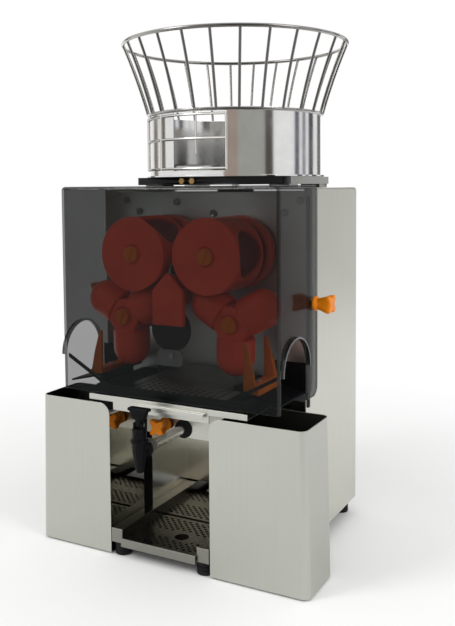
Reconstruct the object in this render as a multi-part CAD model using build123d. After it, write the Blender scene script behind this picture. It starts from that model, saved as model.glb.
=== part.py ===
from build123d import *
import os
from math import acos, atan2, cos, degrees, pi, radians, sin, sqrt, tan

# Automatic orange juicer. Millimetres, +X to the viewer's right, the front faces -Y, +Z up.
# While drawing, y runs back from the front faces of the bins, and the counter is z = 0.

# Clearances
SLIDE_GAP = 0.3        # between pieces that slide past or turn beside each other
SHAFT_GAP = 0.05       # radial, shaft in a bush or bore
SCREW_GAP = 0.3        # radial, screw in its hole
COVER_GAP = 0.5        # smoked cover round the body and the seals

# Body
BODY_W = 364.0         # outer width
BODY_FRONT = 115.0     # front edge of the sides
BODY_DEPTH = 228.0     # front edge to rear edge
BODY_TOP = 565.0       # height of the top
SHEET = 2.0            # body sheet
BODY_BEND = 6.0        # outer bend radius at the top
FLANGE_W = 16.0        # rear return flange
FLANGE_SET = 6.0       # rear flange, set in from the rear edge
BASE_T = 3.0           # base plate
DECK_Z = 232.0         # underside of the deck
DECK_T = 3.0
PANEL_SET = 3.0        # panels behind the bins, set back from the sides' front edges
LINER_T = 1.5
NICHE_DEPTH = 114.0    # from the panels to the niche's rear wall

# Feet and rails
FOOT_H = 20.0          # under the rails' ledges
FOOT_R = 13.0
REAR_FOOT_X = 162.0
REAR_FOOT_INSET = 21.0
RAIL = 20.0            # square tube, outside
RAIL_T = 2.0
LEDGE_T = 2.0
LEDGE_W = 9.0          # ledge beyond the rail's inner face
RAIL_LEN = 330.0

# Peel bins and the niche between them
BIN_SPAN = 456.0       # outer width over both bins at their top
BIN_FLARE = 5.0        # each outer wall leans out by this at the bottom
NICHE_LEFT = -96.0     # left bin's inner face
NICHE_RIGHT = 79.0     # right bin's inner face
BIN_D = 93.0
BIN_TOP = 236.0
BIN_LIFT = 2.0         # above the counter
BIN_T = 1.5
BIN_CORNER = 18.0      # rounded inner top corner
BIN_EDGE = 12.0        # outer vertical edges
BIN_HOOK_W = 60.0
BIN_HOOK_Z = 228.0
BIN_HOOK_T = 2.0

# Drip tray
PAN_H = 6.0
PAN_T = 1.5
PAN_LEN = 228.0
PAN_FRONT = -3.0
PAN_LIP_H = 13.0
DRIP_T = 2.0
DRIP_SLOT = 3.4        # slot width
DRIP_SLOT_L = 8.0
DRIP_PITCH_X = 10.0
DRIP_PITCH_Y = 11.0
DRIP_MARGIN = 14.0
FINGER_R = 11.0
FINGER_X = 15.0
FINGER_Y = 46.0

# Press wall and bearing plate
WALL_GAP = 5.0         # behind the upper drums
WALL_T = 4.0
PLATE_OFF = 40.0       # bearing plate behind the wall's front face
PLATE_T = 5.0
PLATE_X = 150.0
PLATE_TOP = 540.0
POST_R = 7.0
POST_X = 140.0
POST_LOW = 258.0
POST_HIGH = 505.0

# Drums
CUP_X = 64.0           # axes of the upper drums
CUP_Z = 466.0
CUP_DRUM_R = 57.0
DRUM_FRONT = 20.0
CUP_LEN = 80.0         # front length with the cups
GROOVE_LEN = 20.0
GROOVE_R = 30.0
REAR_LEN = 23.0
CUP_R = 38.5
CUP_RAD = 56.0         # cup centres from the axis
PRESS_Y = 60.0         # plane of the cups and balls
BALL_R = 29.0
BALL_RAD = 50.0        # ball centres from the axis
BALL_BASE = 22.0       # flat base of a lobe from the axis
HUB_R = 27.0
HUB_FRONT = 38.0
HUB_LEN = 62.0
NECK_R = 17.0
DRUM_ROUND = 2.5
LOW_DX = 29.5          # lower axes outside the upper ones
RIGHT_CUP_PHASE = 4.0
LEFT_CUP_PHASE = 56.0
RIGHT_BALL_PHASE = 29.0
LEFT_BALL_PHASE = 151.0

# Shafts, knobs and bearings
SHAFT_R = 10.0
SHAFT_OVER = 10.0      # beyond the bearing plate's front face
STUD_R = 5.0
KNOB_R = 12.5
KNOB_LEN = 11.0
RECESS = 3.0           # knob's seat in the drum's face
RIB_W = 4.5
BUSH_T = 4.0
BUSH_FLANGE = 3.0      # flange thickness, and its step beyond the bush
SEAL_T = 3.0
SEAL_GAP = 0.5

# Gears, all of one module
MODULE = 4.0
PRESS_TEETH = 26
TIMING_TEETH = 32
PINION_TEETH = 14
BACKLASH = 0.5         # taken off each tooth's thickness at the pitch circle
GEAR_T = 12.0
PRESS_GEAR_OFF = 8.0   # gears behind the wall's front face
TIMING_GEAR_OFF = 22.0
PINION_ANGLE = -75.0   # from the lower left axis
PINION_SHAFT_R = 8.0
GEARBOX = 90.0
GEARBOX_LEN = 44.0
MOTOR_R = 44.0
MOTOR_LEN = 78.0

# Knife and guard
HOUSE_W = 53.0
HOUSE_LOW = 361.0
HOUSE_SHOULDER = 414.0
HOUSE_TOP = 440.0
HOUSE_FRONT = 18.0
HOUSE_T = 9.0
RIB_HALF = 8.0
RIB_LOW = 388.0
BLADE_T = 2.0
BLADE_TOP = 486.0
GUARD_R = 34.0         # round plate behind the holder
GUARD_T = 3.0
GUARD_BELOW = 6.0      # its middle, below the holder's lower edge
GUARD_TAB = 24.0       # width of its lower tab
BRACKET_W = 44.0
BRACKET_H = 25.0
BRACKET_T = 2.0
BRACKET_BELOW = 37.0   # its top, below the holder's lower edge
BRACKET_ROUND = 8.0
GUARD_SCREW_X = 3.0
GUARD_SCREW_DROP = 9.0 # below the bracket's top

# Tray shelf, juice tray, strainer, peel slides and strippers
FRONT_Y = 6.0          # stainless front of the shelf
SHELF_X = 138.0        # half width
SHELF_Z = 238.0
SHELF_T = 2.0
STRIP_TOP = 247.0
STRIP_LOW = 226.0      # lower edge between the bins
STRIP_GAP = 3.0        # to the bins on each side
PULL_LEFT = -57.0
PULL_RIGHT = 70.0
PULL_OUT = 7.0
PULL_Z = 239.0
PULL_T = 1.5
PULL_LIP = 5.5
SHELF_FLANGE = 16.0
TRAY_X = 128.0
TRAY_FRONT = 12.0
TRAY_T = 3.0
TRAY_H = 22.0
TRAY_REAR_GAP = 2.0
GUARD_IN = 95.0        # front guard: low between these, rising outward
GUARD_OUT = 182.0
GUARD_LOW = 257.0
GUARD_HIGH = 305.0
GUARD_BAR = 6.0
DRAIN_X = -8.0
DRAIN_Y = 107.0
DRAIN_R = 8.0
DRAIN_LEN = 18.0
STRAINER_X = 92.0
STRAINER_T = 2.0
STRAINER_H = 14.0
STRAINER_BACK = 27.0   # rear wall at its ends, above the tray's floor
STRAINER_ARCH = 8.0    # rise of the rear wall's edge at the middle
STRAINER_SIDE = 6.0    # from the tray's inner walls, front and rear
HOLE_R = 3.2
HOLE_PITCH = 12.5
SLIDE_IN = 108.0
SLIDE_OUT = 183.0
SLIDE_HIGH = 280.0
SLIDE_LOW = 262.0
SLIDE_T = 3.0
SLIDE_FRONT = 20.0
SLIDE_REAR = 110.0
CHUTE_IN = 126.0       # wall behind the peel, from here out
CHUTE_TOP = 305.0
PRONG_T = 8.0
PRONG_FRONT = 18.0
PRONG_REAR = 98.0
PRONG_TOP = 344.0
PRONG_IN = 124.0
PRONG_OUT = 148.0
FORK_BASE = 284.0

# Juice tank and tap
TANK_LEFT = -90.0
TANK_RIGHT = 72.0
TANK_FRONT = 95.0
TANK_REAR = 190.0
TANK_LOW = 168.0
TANK_T = 1.5
TAP_X = -20.0
TAP_Z = 182.0
TAP_Y = -30.0          # barrel's axis
PIPE_R = 7.5
PIPE_WALL = 1.5
NUT_AF = 22.0
NUT_LEN = 13.0
BOSS_R = 10.0
BOSS_END = -12.0       # where the tap's flange meets the nut
FLANGE_R = 13.0
FLANGE_T = 6.0
BARREL_R = 11.0
BARREL_TOP = 217.0
COLLAR_R = 13.0
COLLAR_Z = 196.0
COLLAR_H = 4.0
SPOUT_Z = 151.0
SPOUT_R = 5.5
SPOUT_BORE = 3.5
EAR_T = 3.0
TONGUE_W = 10.0
PIN_R = 2.0
PIN_Z = 222.0
EAR_TOP = 225.5
LEVER_R = 4.5          # boss round the pin
LEVER_TOP = 247.0
LEVER_W_LOW = 19.0
LEVER_W_TOP = 35.0
LEVER_T = 12.0
GROMMET_R = 15.0
GROMMET_T = 3.0
TANK_KNOB_X = -51.0
TANK_KNOB_Z = 187.0

# Lobed knobs on studs
LOBE_STUD_R = 4.0
LOBE_R = 17.0
LOBE_WAIST = 9.5
LOBE_TURN = 45.0       # lobes off the upright
LOBE_BASE_R = 11.0
LOBE_BASE_T = 6.0
LOBE_LEN = 30.0
LOBE_STUD_IN = 19.0
TANK_STUD_OUT = 3.0    # stud between the tank's face and its knob

# Smoked cover
COVER_T = 3.5
COVER_FRONT = 6.0
COVER_LOW = 250.0
COVER_LAP = 32.0       # over the body's sides
COVER_ROUND = 6.0
COVER_CORNER = 16.0    # lower rear corner of each side
ARCH_R = 47.0
ARCH_Y = 59.0
ARCH_TOP = 350.0
HOOD_OUT = 5.0         # hood over each arch
HOOD_T = 3.0
NOTCH_HALF = 52.0      # feed opening in the top
NOTCH_Y = 46.0
STUD_Y = 131.0
STUD_Z = 392.0
STUD_SLOT_GAP = 1.5
SEAL_SET = 4.5         # edge seal, back from the sides' front edges
SEAL_W = 7.0
SEAL_LIP = 2.0
SEAL_DROP = 13.0       # below the body's top

# Hopper
HOP_X = 22.0
HOP_Y = 200.0
BRACKET_HALF_W = 135.5
BRACKET_OFF = -14.5    # bracket's middle from the hopper's axis
BRACKET_FRONT = 130.0
BRACKET_REAR = 318.0
BRACKET_LIFT = 6.0     # above the body's top
BRACKET_PLATE_T = 12.0
PAD = 34.0
BASE_R = 146.0
HOP_BASE_T = 2.0
BAND_R = 140.0
BAND_T = 1.5
BAND_H = 101.0
WINDOW_FROM = -15.0    # degrees from -Y towards +X
WINDOW_TO = 22.0
WINDOW_LOW = 7.0
WINDOW_HIGH = 95.0
RIM_WIRE = 2.3
RIM_DROP = 3.0
RING_R = 182.0
RING_WIRE = 3.0
RING_RISE = 110.0      # above the band
WIRE_R = 2.2
WIRE_COUNT = 26
WIRE_PHASE = 9.0       # degrees from +X to the first wire
WIRE_BEND = 2.0        # inward bow at mid height
GATE_WIRE = 2.0
GATE_GAP = 0.6
GATE_FROM = -62.0
GATE_TO = 22.0
GATE_POST = -26.0
GATE_MID = 3.0
GATE_LEVELS = (10.0, 55.0, 91.0)   # above the hopper's floor
GATE_MID_R = 1.2
GATE_MID_LOW = 32.0
DROP_R = 36.0
DROP_RAD = 99.0
WHEEL_R = 126.0        # feed wheel
WHEEL_LIFT = 2.0
WHEEL_H = 20.0
WHEEL_HUB_R = 17.0
ARM_W = 12.0
POCKETS = 6
FEED_SHAFT_R = 6.0
FEED_MOTOR_R = 30.0
FEED_MOTOR_H = 18.0
FEED_HOLE_R = 12.0
BOLT_AF = 9.0
BOLT_HEAD = 4.0
BOLT_R = 2.5
BOLT_LEN = 12.0
BOLT_X = (-38.0, -19.0)

# Rear pieces
LOUVRE_W = 110.0
LOUVRE_H = 5.0
LOUVRE_PITCH = 12.0
LOUVRE_ROWS = 8
LOUVRE_LOW = 420.0
SWITCH_X = 40.0
INLET_X = 110.0
POWER_Z = 92.0
SWITCH_W = 22.0
SWITCH_H = 30.0
BEZEL = 3.0
BEZEL_T = 2.5
ROCKER_GAP = 0.6
ROCKER_R = 16.0
INLET_W = 30.0
INLET_H = 24.0
INLET_DEEP = 22.0
SCREW_R = 2.0
HEAD_R = 4.5
HEAD_T = 2.5
WALL_SCREW_R = 3.0
WALL_HEAD_R = 6.0
WALL_HEAD_T = 3.5
WALL_SCREWS = ((-160.0, 546.0), (-134.0, 527.0), (-60.0, 543.0), (9.0, 525.0), (134.0, 527.0), (160.0, 546.0))

# Derived places
BODY_X = BODY_W / 2
IN_X = BODY_X - SHEET
BODY_REAR = BODY_FRONT + BODY_DEPTH
FLANGE_Y = BODY_REAR - FLANGE_SET
BIN_X = BIN_SPAN / 2
LEDGE_Z = FOOT_H
RAIL_Z = LEDGE_Z + LEDGE_T
RAIL_TOP = RAIL_Z + RAIL
BASE_Z = RAIL_Z
BASE_TOP = BASE_Z + BASE_T
RAIL_L = NICHE_LEFT + 1.0
RAIL_R = NICHE_RIGHT - 2.0
DECK_TOP = DECK_Z + DECK_T
PANEL_Y = BODY_FRONT + PANEL_SET
NICHE_REAR = PANEL_Y + NICHE_DEPTH
INNER_REAR = FLANGE_Y - SHEET - 0.5
CENTRES = MODULE * PRESS_TEETH
LOW_X = CUP_X + LOW_DX
LOW_Z = CUP_Z - sqrt(CENTRES ** 2 - LOW_DX ** 2)
CUP_REAR = DRUM_FRONT + CUP_LEN + GROOVE_LEN + REAR_LEN
WALL_Y = CUP_REAR + WALL_GAP
WALL_BACK = WALL_Y + WALL_T
PLATE_Y = WALL_Y + PLATE_OFF
PRESS_GEAR_Y = WALL_Y + PRESS_GEAR_OFF
TIMING_GEAR_Y = WALL_Y + TIMING_GEAR_OFF
SHAFT_END = PLATE_Y + SHAFT_OVER
PINION_CD = MODULE * (PRESS_TEETH + PINION_TEETH) / 2
PINION_X = -LOW_X + PINION_CD * cos(radians(PINION_ANGLE))
PINION_Z = LOW_Z + PINION_CD * sin(radians(PINION_ANGLE))
GEARBOX_Y = PLATE_Y + PLATE_T
COVER_X = BODY_X + SEAL_LIP + COVER_GAP + COVER_T
COVER_TOP = BODY_TOP + COVER_GAP + COVER_T
COVER_REAR = BODY_FRONT + COVER_LAP
SEAL_TOP = BODY_TOP - SEAL_DROP
SHELF_TOP = SHELF_Z + SHELF_T
GUARD_Y = HOUSE_FRONT + HOUSE_T
BRACKET_TOP = HOUSE_LOW - BRACKET_BELOW
BRACKET_LOW = BODY_TOP + BRACKET_LIFT
HOP_BASE_Z = BRACKET_LOW + BRACKET_PLATE_T
HOP_FLOOR = HOP_BASE_Z + HOP_BASE_T
BAND_TOP = HOP_FLOOR + BAND_H
RING_Z = BAND_TOP + RING_RISE
RIM_R = BAND_R + RIM_WIRE + SLIDE_GAP
GATE_R = BAND_R + GATE_WIRE + GATE_GAP
DROP_X = HOP_X - 8.0
DROP_Y = HOP_Y - sqrt(DROP_RAD ** 2 - 8.0 ** 2)
WHEEL_Z = HOP_FLOOR + WHEEL_LIFT
WHEEL_TOP = WHEEL_Z + WHEEL_H
FRONT_MOST = TAP_Y - COLLAR_R
REAR_MOST = HOP_Y + RING_R + RING_WIRE
ORIGIN_Y = (FRONT_MOST + REAR_MOST) / 2


def block(x0, x1, y0, y1, z0, z1):
    return Pos((x0 + x1) / 2, (y0 + y1) / 2, (z0 + z1) / 2) * Box(x1 - x0, y1 - y0, z1 - z0)


def rod_x(y, z, x0, x1, r):
    return Pos((x0 + x1) / 2, y, z) * Rot(0, 90, 0) * Cylinder(r, abs(x1 - x0))


def rod_y(x, z, y0, y1, r):
    return Pos(x, (y0 + y1) / 2, z) * Rot(90, 0, 0) * Cylinder(r, y1 - y0)


def rod_z(x, y, z0, z1, r):
    return Pos(x, y, (z0 + z1) / 2) * Cylinder(r, z1 - z0)


def slab_y(points, y0, y1):
    # An outline of (x, z) points, running from y0 to y1
    plane = Plane(origin=(0, y1, 0), x_dir=(1, 0, 0), z_dir=(0, -1, 0))
    return extrude(plane * make_face(Polyline(*points, close=True)), amount=y1 - y0)


def slab_x(points, x0, x1):
    # An outline of (y, z) points, running from x0 to x1
    plane = Plane(origin=(x0, 0, 0), x_dir=(0, 1, 0), z_dir=(1, 0, 0))
    return extrude(plane * make_face(Polyline(*points, close=True)), amount=x1 - x0)


def slab_z(points, z0, z1):
    # An outline of (x, y) points, running from z0 to z1
    return extrude(Pos(0, 0, z0) * make_face(Polyline(*points, close=True)), amount=z1 - z0)


def hex_y(x, z, y0, y1, across):
    return Pos(x, (y0 + y1) / 2, z) * Rot(90, 0, 0) * extrude(
        RegularPolygon(across / sqrt(3), 6), amount=(y1 - y0) / 2, both=True)


def around(x, z, radius, angle):
    return x + radius * cos(radians(angle)), z + radius * sin(radians(angle))


def hop_point(radius, angle):
    # Angle from -Y towards +X about the hopper's axis
    return HOP_X + radius * sin(radians(angle)), HOP_Y - radius * cos(radians(angle))


def body_shell():
    shell = block(-BODY_X, BODY_X, BODY_FRONT, BODY_REAR, BASE_Z, BODY_TOP)
    shell = fillet(shell.edges().filter_by(Axis.Y).group_by(Axis.Z)[-1], BODY_BEND)
    room = block(-IN_X, IN_X, BODY_FRONT - 5, BODY_REAR + 5, BASE_Z - 5, BODY_TOP - SHEET)
    room = fillet(room.edges().filter_by(Axis.Y).group_by(Axis.Z)[-1], BODY_BEND - SHEET)
    shell -= room
    for side in (-1, 1):
        near, far = sorted((side * (IN_X - FLANGE_W), side * (IN_X + SHEET / 2)))
        shell += block(near, far, FLANGE_Y - SHEET, FLANGE_Y, BASE_TOP, BODY_TOP - BODY_BEND)
    shell -= rod_z(HOP_X, HOP_Y, BODY_TOP - SHEET - 1, BODY_TOP + 1, FEED_HOLE_R)
    for x, z in rear_screw_places():
        shell -= rod_y(x, z, FLANGE_Y - SHEET - 1, FLANGE_Y + 1, SCREW_R + SCREW_GAP)
    return shell


def rear_screw_places():
    low = BASE_TOP + 40
    step = (BODY_TOP - 40 - low) / 3
    return [(side * (IN_X - FLANGE_W / 2), low + step * k) for side in (-1, 1) for k in range(4)]


def rear_cover():
    edge = IN_X - SLIDE_GAP
    cover = block(-edge, edge, FLANGE_Y, FLANGE_Y + SHEET, BASE_TOP, BODY_TOP - BODY_BEND)
    for x, z in rear_screw_places():
        cover -= rod_y(x, z, FLANGE_Y - 1, FLANGE_Y + SHEET + 1, SCREW_R + SCREW_GAP)
    for row in range(LOUVRE_ROWS):
        z = LOUVRE_LOW + LOUVRE_PITCH * row
        for x in (-LOUVRE_W * 0.65, LOUVRE_W * 0.65):
            cover -= block(x - LOUVRE_W / 2, x + LOUVRE_W / 2, FLANGE_Y - 1, FLANGE_Y + SHEET + 1,
                           z, z + LOUVRE_H)
    half_w, half_h = SWITCH_W / 2, SWITCH_H / 2
    cover -= block(SWITCH_X - half_w, SWITCH_X + half_w, FLANGE_Y - 1, FLANGE_Y + SHEET + 1,
                   POWER_Z - half_h, POWER_Z + half_h)
    half_w, half_h = INLET_W / 2, INLET_H / 2
    cover -= block(INLET_X - half_w, INLET_X + half_w, FLANGE_Y - 1, FLANGE_Y + SHEET + 1,
                   POWER_Z - half_h, POWER_Z + half_h)
    return cover


def rear_screws():
    face = FLANGE_Y + SHEET
    return [rod_y(x, z, face, face + HEAD_T, HEAD_R) + rod_y(x, z, FLANGE_Y - SHEET - 3, face + 0.5, SCREW_R)
            for x, z in rear_screw_places()]


def base_plate():
    plate = block(-IN_X, IN_X, PANEL_Y, INNER_REAR, BASE_Z, BASE_TOP)
    return plate - block(RAIL_L, RAIL_R, PANEL_Y - 5, RAIL_LEN, BASE_Z - 1, BASE_TOP + 1)


def tunnel_liner():
    left, right = RAIL_L - 0.5, RAIL_R + 0.5
    low, high = BASE_TOP, DECK_Z
    liner = block(-IN_X, left, PANEL_Y, PANEL_Y + LINER_T, low, high)
    liner += block(right, IN_X, PANEL_Y, PANEL_Y + LINER_T, low, high)
    liner += block(left - LINER_T, left, PANEL_Y, NICHE_REAR, low, high)
    liner += block(right, right + LINER_T, PANEL_Y, NICHE_REAR, low, high)
    liner += block(left - LINER_T, right + LINER_T, NICHE_REAR, NICHE_REAR + LINER_T, RAIL_TOP + 2, high)
    return liner


def deck_plate():
    return block(-IN_X, IN_X, PANEL_Y, INNER_REAR, DECK_Z, DECK_TOP)


def base_rails():
    rails = []
    for x0, inner in ((RAIL_L, 1), (RAIL_R - RAIL, -1)):
        tube = block(x0, x0 + RAIL, 0, RAIL_LEN, RAIL_Z, RAIL_TOP)
        tube -= block(x0 + RAIL_T, x0 + RAIL - RAIL_T, RAIL_T, RAIL_LEN + 1,
                      RAIL_Z + RAIL_T, RAIL_TOP - RAIL_T)
        left = x0 if inner > 0 else x0 - LEDGE_W
        tube += block(left, left + RAIL + LEDGE_W, 0, RAIL_LEN, LEDGE_Z, RAIL_Z)
        rails.append(tube)
    return rails


def foot(x, y, height):
    body = rod_z(x, y, 0, height, FOOT_R)
    return fillet(body.edges().group_by(Axis.Z)[0], 2.0)


def front_feet():
    return [foot(RAIL_L + FOOT_R, FOOT_R + 1, FOOT_H), foot(RAIL_R - FOOT_R, FOOT_R + 1, FOOT_H)]


def rear_feet():
    y = BODY_REAR - REAR_FOOT_INSET
    return [foot(side * REAR_FOOT_X, y, BASE_Z) for side in (-1, 1)]


def drum_axes():
    return {"upper_left": (-CUP_X, CUP_Z), "upper_right": (CUP_X, CUP_Z),
            "lower_left": (-LOW_X, LOW_Z), "lower_right": (LOW_X, LOW_Z)}


def press_wall():
    wall = block(-IN_X, IN_X, WALL_Y, WALL_BACK, DECK_TOP, BODY_TOP - BODY_BEND)
    for x, z in drum_axes().values():
        wall -= rod_y(x, z, WALL_Y - 1, WALL_BACK + 1, SHAFT_R + BUSH_T)
    for x, z in WALL_SCREWS:
        wall -= rod_y(x, z, WALL_Y - 1, WALL_BACK + 1, WALL_SCREW_R + SCREW_GAP)
    return wall


def wall_screws():
    return [rod_y(x, z, WALL_Y - WALL_HEAD_T, WALL_Y, WALL_HEAD_R)
            + rod_y(x, z, WALL_Y - 0.5, WALL_BACK + 4, WALL_SCREW_R) for x, z in WALL_SCREWS]


def bearing_plate():
    plate = block(-PLATE_X, PLATE_X, PLATE_Y, PLATE_Y + PLATE_T, DECK_TOP, PLATE_TOP)
    for x, z in drum_axes().values():
        plate -= rod_y(x, z, PLATE_Y - 1, PLATE_Y + PLATE_T + 1, SHAFT_R + BUSH_T)
    return plate - rod_y(PINION_X, PINION_Z, PLATE_Y - 1, PLATE_Y + PLATE_T + 1, PINION_SHAFT_R + 4)


def plate_posts():
    return [rod_y(side * POST_X, z, WALL_BACK, PLATE_Y, POST_R)
            for side in (-1, 1) for z in (POST_LOW, POST_HIGH)]


def bush(x, z, y0, y1, flange_y):
    body = rod_y(x, z, y0, y1, SHAFT_R + BUSH_T)
    body += rod_y(x, z, flange_y, flange_y + BUSH_FLANGE, SHAFT_R + BUSH_T + BUSH_FLANGE)
    return body - rod_y(x, z, y0 - 5, y1 + 5, SHAFT_R + SHAFT_GAP)


def wall_bushes():
    return [bush(x, z, WALL_Y, WALL_BACK + BUSH_FLANGE, WALL_BACK) for x, z in drum_axes().values()]


def plate_bushes():
    end = PLATE_Y + PLATE_T
    return [bush(x, z, PLATE_Y - BUSH_FLANGE, end, PLATE_Y - BUSH_FLANGE) for x, z in drum_axes().values()]


def shaft_seals():
    return [rod_y(x, z, WALL_Y - SEAL_T, WALL_Y, SHAFT_R + BUSH_T + 2)
            - rod_y(x, z, WALL_Y - SEAL_T - 1, WALL_Y + 1, SHAFT_R + SEAL_GAP)
            for x, z in drum_axes().values()]


def shaft(x, z, front):
    # The stud at the front carries the drum's knob
    shoulder = front + RECESS + 1
    stud = rod_y(x, z, front - KNOB_LEN + RECESS + 3, shoulder + 1, STUD_R)
    return rod_y(x, z, shoulder, SHAFT_END, SHAFT_R) + stud


def cup_drum(x, z, phase):
    front_end = DRUM_FRONT + CUP_LEN
    head = rod_y(x, z, DRUM_FRONT, front_end, CUP_DRUM_R)
    head = fillet(head.edges().filter_by(GeomType.CIRCLE), DRUM_ROUND)
    rear = rod_y(x, z, front_end + GROOVE_LEN, CUP_REAR, CUP_DRUM_R)
    rear = fillet(rear.edges().filter_by(GeomType.CIRCLE), DRUM_ROUND)
    drum = head + rod_y(x, z, front_end - 1, front_end + GROOVE_LEN + 1, GROOVE_R) + rear
    drum -= rod_y(x, z, DRUM_FRONT - 1, DRUM_FRONT + RECESS, KNOB_R + 2)
    drum -= rod_y(x, z, DRUM_FRONT - 1, CUP_REAR + 1, SHAFT_R + SHAFT_GAP)
    for k in range(3):
        cx, cz = around(x, z, CUP_RAD, phase + 120 * k)
        drum -= Pos(cx, PRESS_Y, cz) * Sphere(CUP_R)
    return drum


def ball_drum(x, z, phase):
    hub_end = HUB_FRONT + HUB_LEN
    drum = rod_y(x, z, HUB_FRONT, hub_end, HUB_R)
    drum = fillet(drum.edges().filter_by(GeomType.CIRCLE), DRUM_ROUND)
    drum += rod_y(x, z, hub_end - 1, CUP_REAR, NECK_R)
    for k in range(3):
        angle = phase + 120 * k
        cx, cz = around(x, z, (BALL_BASE + BALL_RAD) / 2, angle)
        bx, bz = around(x, z, BALL_RAD, angle)
        drum += Pos(cx, PRESS_Y, cz) * Rot(0, 90 - angle, 0) * Cylinder(BALL_R, BALL_RAD - BALL_BASE)
        drum += Pos(bx, PRESS_Y, bz) * Sphere(BALL_R)
    drum -= rod_y(x, z, HUB_FRONT - 1, HUB_FRONT + RECESS, KNOB_R + 2)
    return drum - rod_y(x, z, HUB_FRONT - 1, CUP_REAR + 1, SHAFT_R + SHAFT_GAP)


def drum_knob(x, z, front):
    seat = front + RECESS
    base = seat - KNOB_LEN
    knob = rod_y(x, z, base + 4, seat, KNOB_R)
    knob = fillet(knob.edges().group_by(Axis.Y)[0], 1.5)
    knob += block(x - RIB_W / 2, x + RIB_W / 2, base, base + 6, z - KNOB_R + 1.5, z + KNOB_R - 1.5)
    return knob - rod_y(x, z, base + 2, seat + 1, STUD_R + SHAFT_GAP)


def involute(value):
    return tan(value) - value


def gear(x, z, y, teeth, phase, bore):
    # Involute teeth, with the middle of one tooth at the phase angle
    pitch = MODULE * teeth / 2
    base = pitch * cos(radians(20))
    tip, root = pitch + MODULE, pitch - 1.25 * MODULE
    half = (pi * MODULE / 2 - BACKLASH) / (2 * pitch)
    start = max(base, root)
    flank = []
    for k in range(5):
        r = start + (tip - start) * k / 4
        flank.append((r, half + involute(radians(20)) - involute(acos(base / r))))
    points = []
    for tooth in range(teeth):
        mid = radians(phase) + 2 * pi * tooth / teeth
        points.append((root, mid - min(pi / teeth - 0.01, flank[0][1] + 0.02)))
        points += [(r, mid - a) for r, a in flank]
        points += [(r, mid + a) for r, a in reversed(flank)]
        points.append((root, mid + min(pi / teeth - 0.01, flank[0][1] + 0.02)))
    outline = [(x + r * cos(a), z + r * sin(a)) for r, a in points]
    return slab_y(outline, y, y + GEAR_T) - rod_y(x, z, y - 1, y + GEAR_T + 1, bore + SHAFT_GAP)


def mesh_phase(first_phase, first_teeth, teeth, direction):
    # Phase of a gear that meshes with the first one, which lies opposite to the direction
    offset = (direction - first_phase) * first_teeth / 360
    return direction + 180 - (0.5 - offset) * 360 / teeth


def press_gears():
    axes = drum_axes()
    lean = degrees(atan2(LOW_Z - CUP_Z, LOW_DX))
    phases = {"upper_right": lean, "upper_left": 180 - lean}
    phases["lower_right"] = mesh_phase(lean, PRESS_TEETH, PRESS_TEETH, lean)
    phases["lower_left"] = mesh_phase(180 - lean, PRESS_TEETH, PRESS_TEETH, 180 - lean)
    made = {}
    for name, (x, z) in axes.items():
        made[name + "_gear"] = gear(x, z, PRESS_GEAR_Y, PRESS_TEETH, phases[name], SHAFT_R)
    made["timing_gear_left"] = gear(-CUP_X, CUP_Z, TIMING_GEAR_Y, TIMING_TEETH, 0, SHAFT_R)
    made["timing_gear_right"] = gear(CUP_X, CUP_Z, TIMING_GEAR_Y, TIMING_TEETH,
                                     mesh_phase(0, TIMING_TEETH, TIMING_TEETH, 0), SHAFT_R)
    turn = mesh_phase(phases["lower_left"], PRESS_TEETH, PINION_TEETH, PINION_ANGLE)
    made["drive_pinion"] = gear(PINION_X, PINION_Z, PRESS_GEAR_Y, PINION_TEETH, turn, PINION_SHAFT_R)
    return made


def drive_shaft():
    return rod_y(PINION_X, PINION_Z, PRESS_GEAR_Y - 3, GEARBOX_Y + 14, PINION_SHAFT_R)


def gearbox():
    half = GEARBOX / 2
    box = block(PINION_X - half, PINION_X + half, GEARBOX_Y, GEARBOX_Y + GEARBOX_LEN,
                PINION_Z - half, PINION_Z + half)
    box = fillet(box.edges().filter_by(Axis.Y), 8)
    return box - rod_y(PINION_X, PINION_Z, GEARBOX_Y - 1, GEARBOX_Y + 15, PINION_SHAFT_R + SHAFT_GAP)


def motor():
    start = GEARBOX_Y + GEARBOX_LEN
    body = rod_y(PINION_X, PINION_Z, start, start + MOTOR_LEN, MOTOR_R)
    return fillet(body.edges().group_by(Axis.Y)[-1], 6)


def knife_holder():
    half = HOUSE_W / 2
    outline = [(-half, HOUSE_LOW), (half, HOUSE_LOW), (half, HOUSE_SHOULDER), (2, HOUSE_TOP), (-2, HOUSE_TOP),
               (-half, HOUSE_SHOULDER)]
    holder = slab_y(outline, HOUSE_FRONT, HOUSE_FRONT + HOUSE_T)
    top = HOUSE_TOP - 4
    rib = [(-RIB_HALF, RIB_LOW), (RIB_HALF, RIB_LOW), (RIB_HALF, top - RIB_HALF), (2, top), (-2, top),
           (-RIB_HALF, top - RIB_HALF)]
    holder += slab_y(rib, HOUSE_FRONT + HOUSE_T - 1, WALL_Y)
    slot = BLADE_T / 2 + SLIDE_GAP
    return holder - block(-slot, slot, HOUSE_FRONT + HOUSE_T - 1, WALL_Y + 1, top - 12, HOUSE_TOP + 1)


def knife_blade():
    foot_z = HOUSE_TOP - 16
    front = HOUSE_FRONT + HOUSE_T - 0.7
    outline = [(front, foot_z), (WALL_Y, foot_z), (WALL_Y, BLADE_TOP), (front + 22, HOUSE_TOP + 28),
               (front, HOUSE_TOP + 6)]
    return slab_x(outline, -BLADE_T / 2, BLADE_T / 2)


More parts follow.
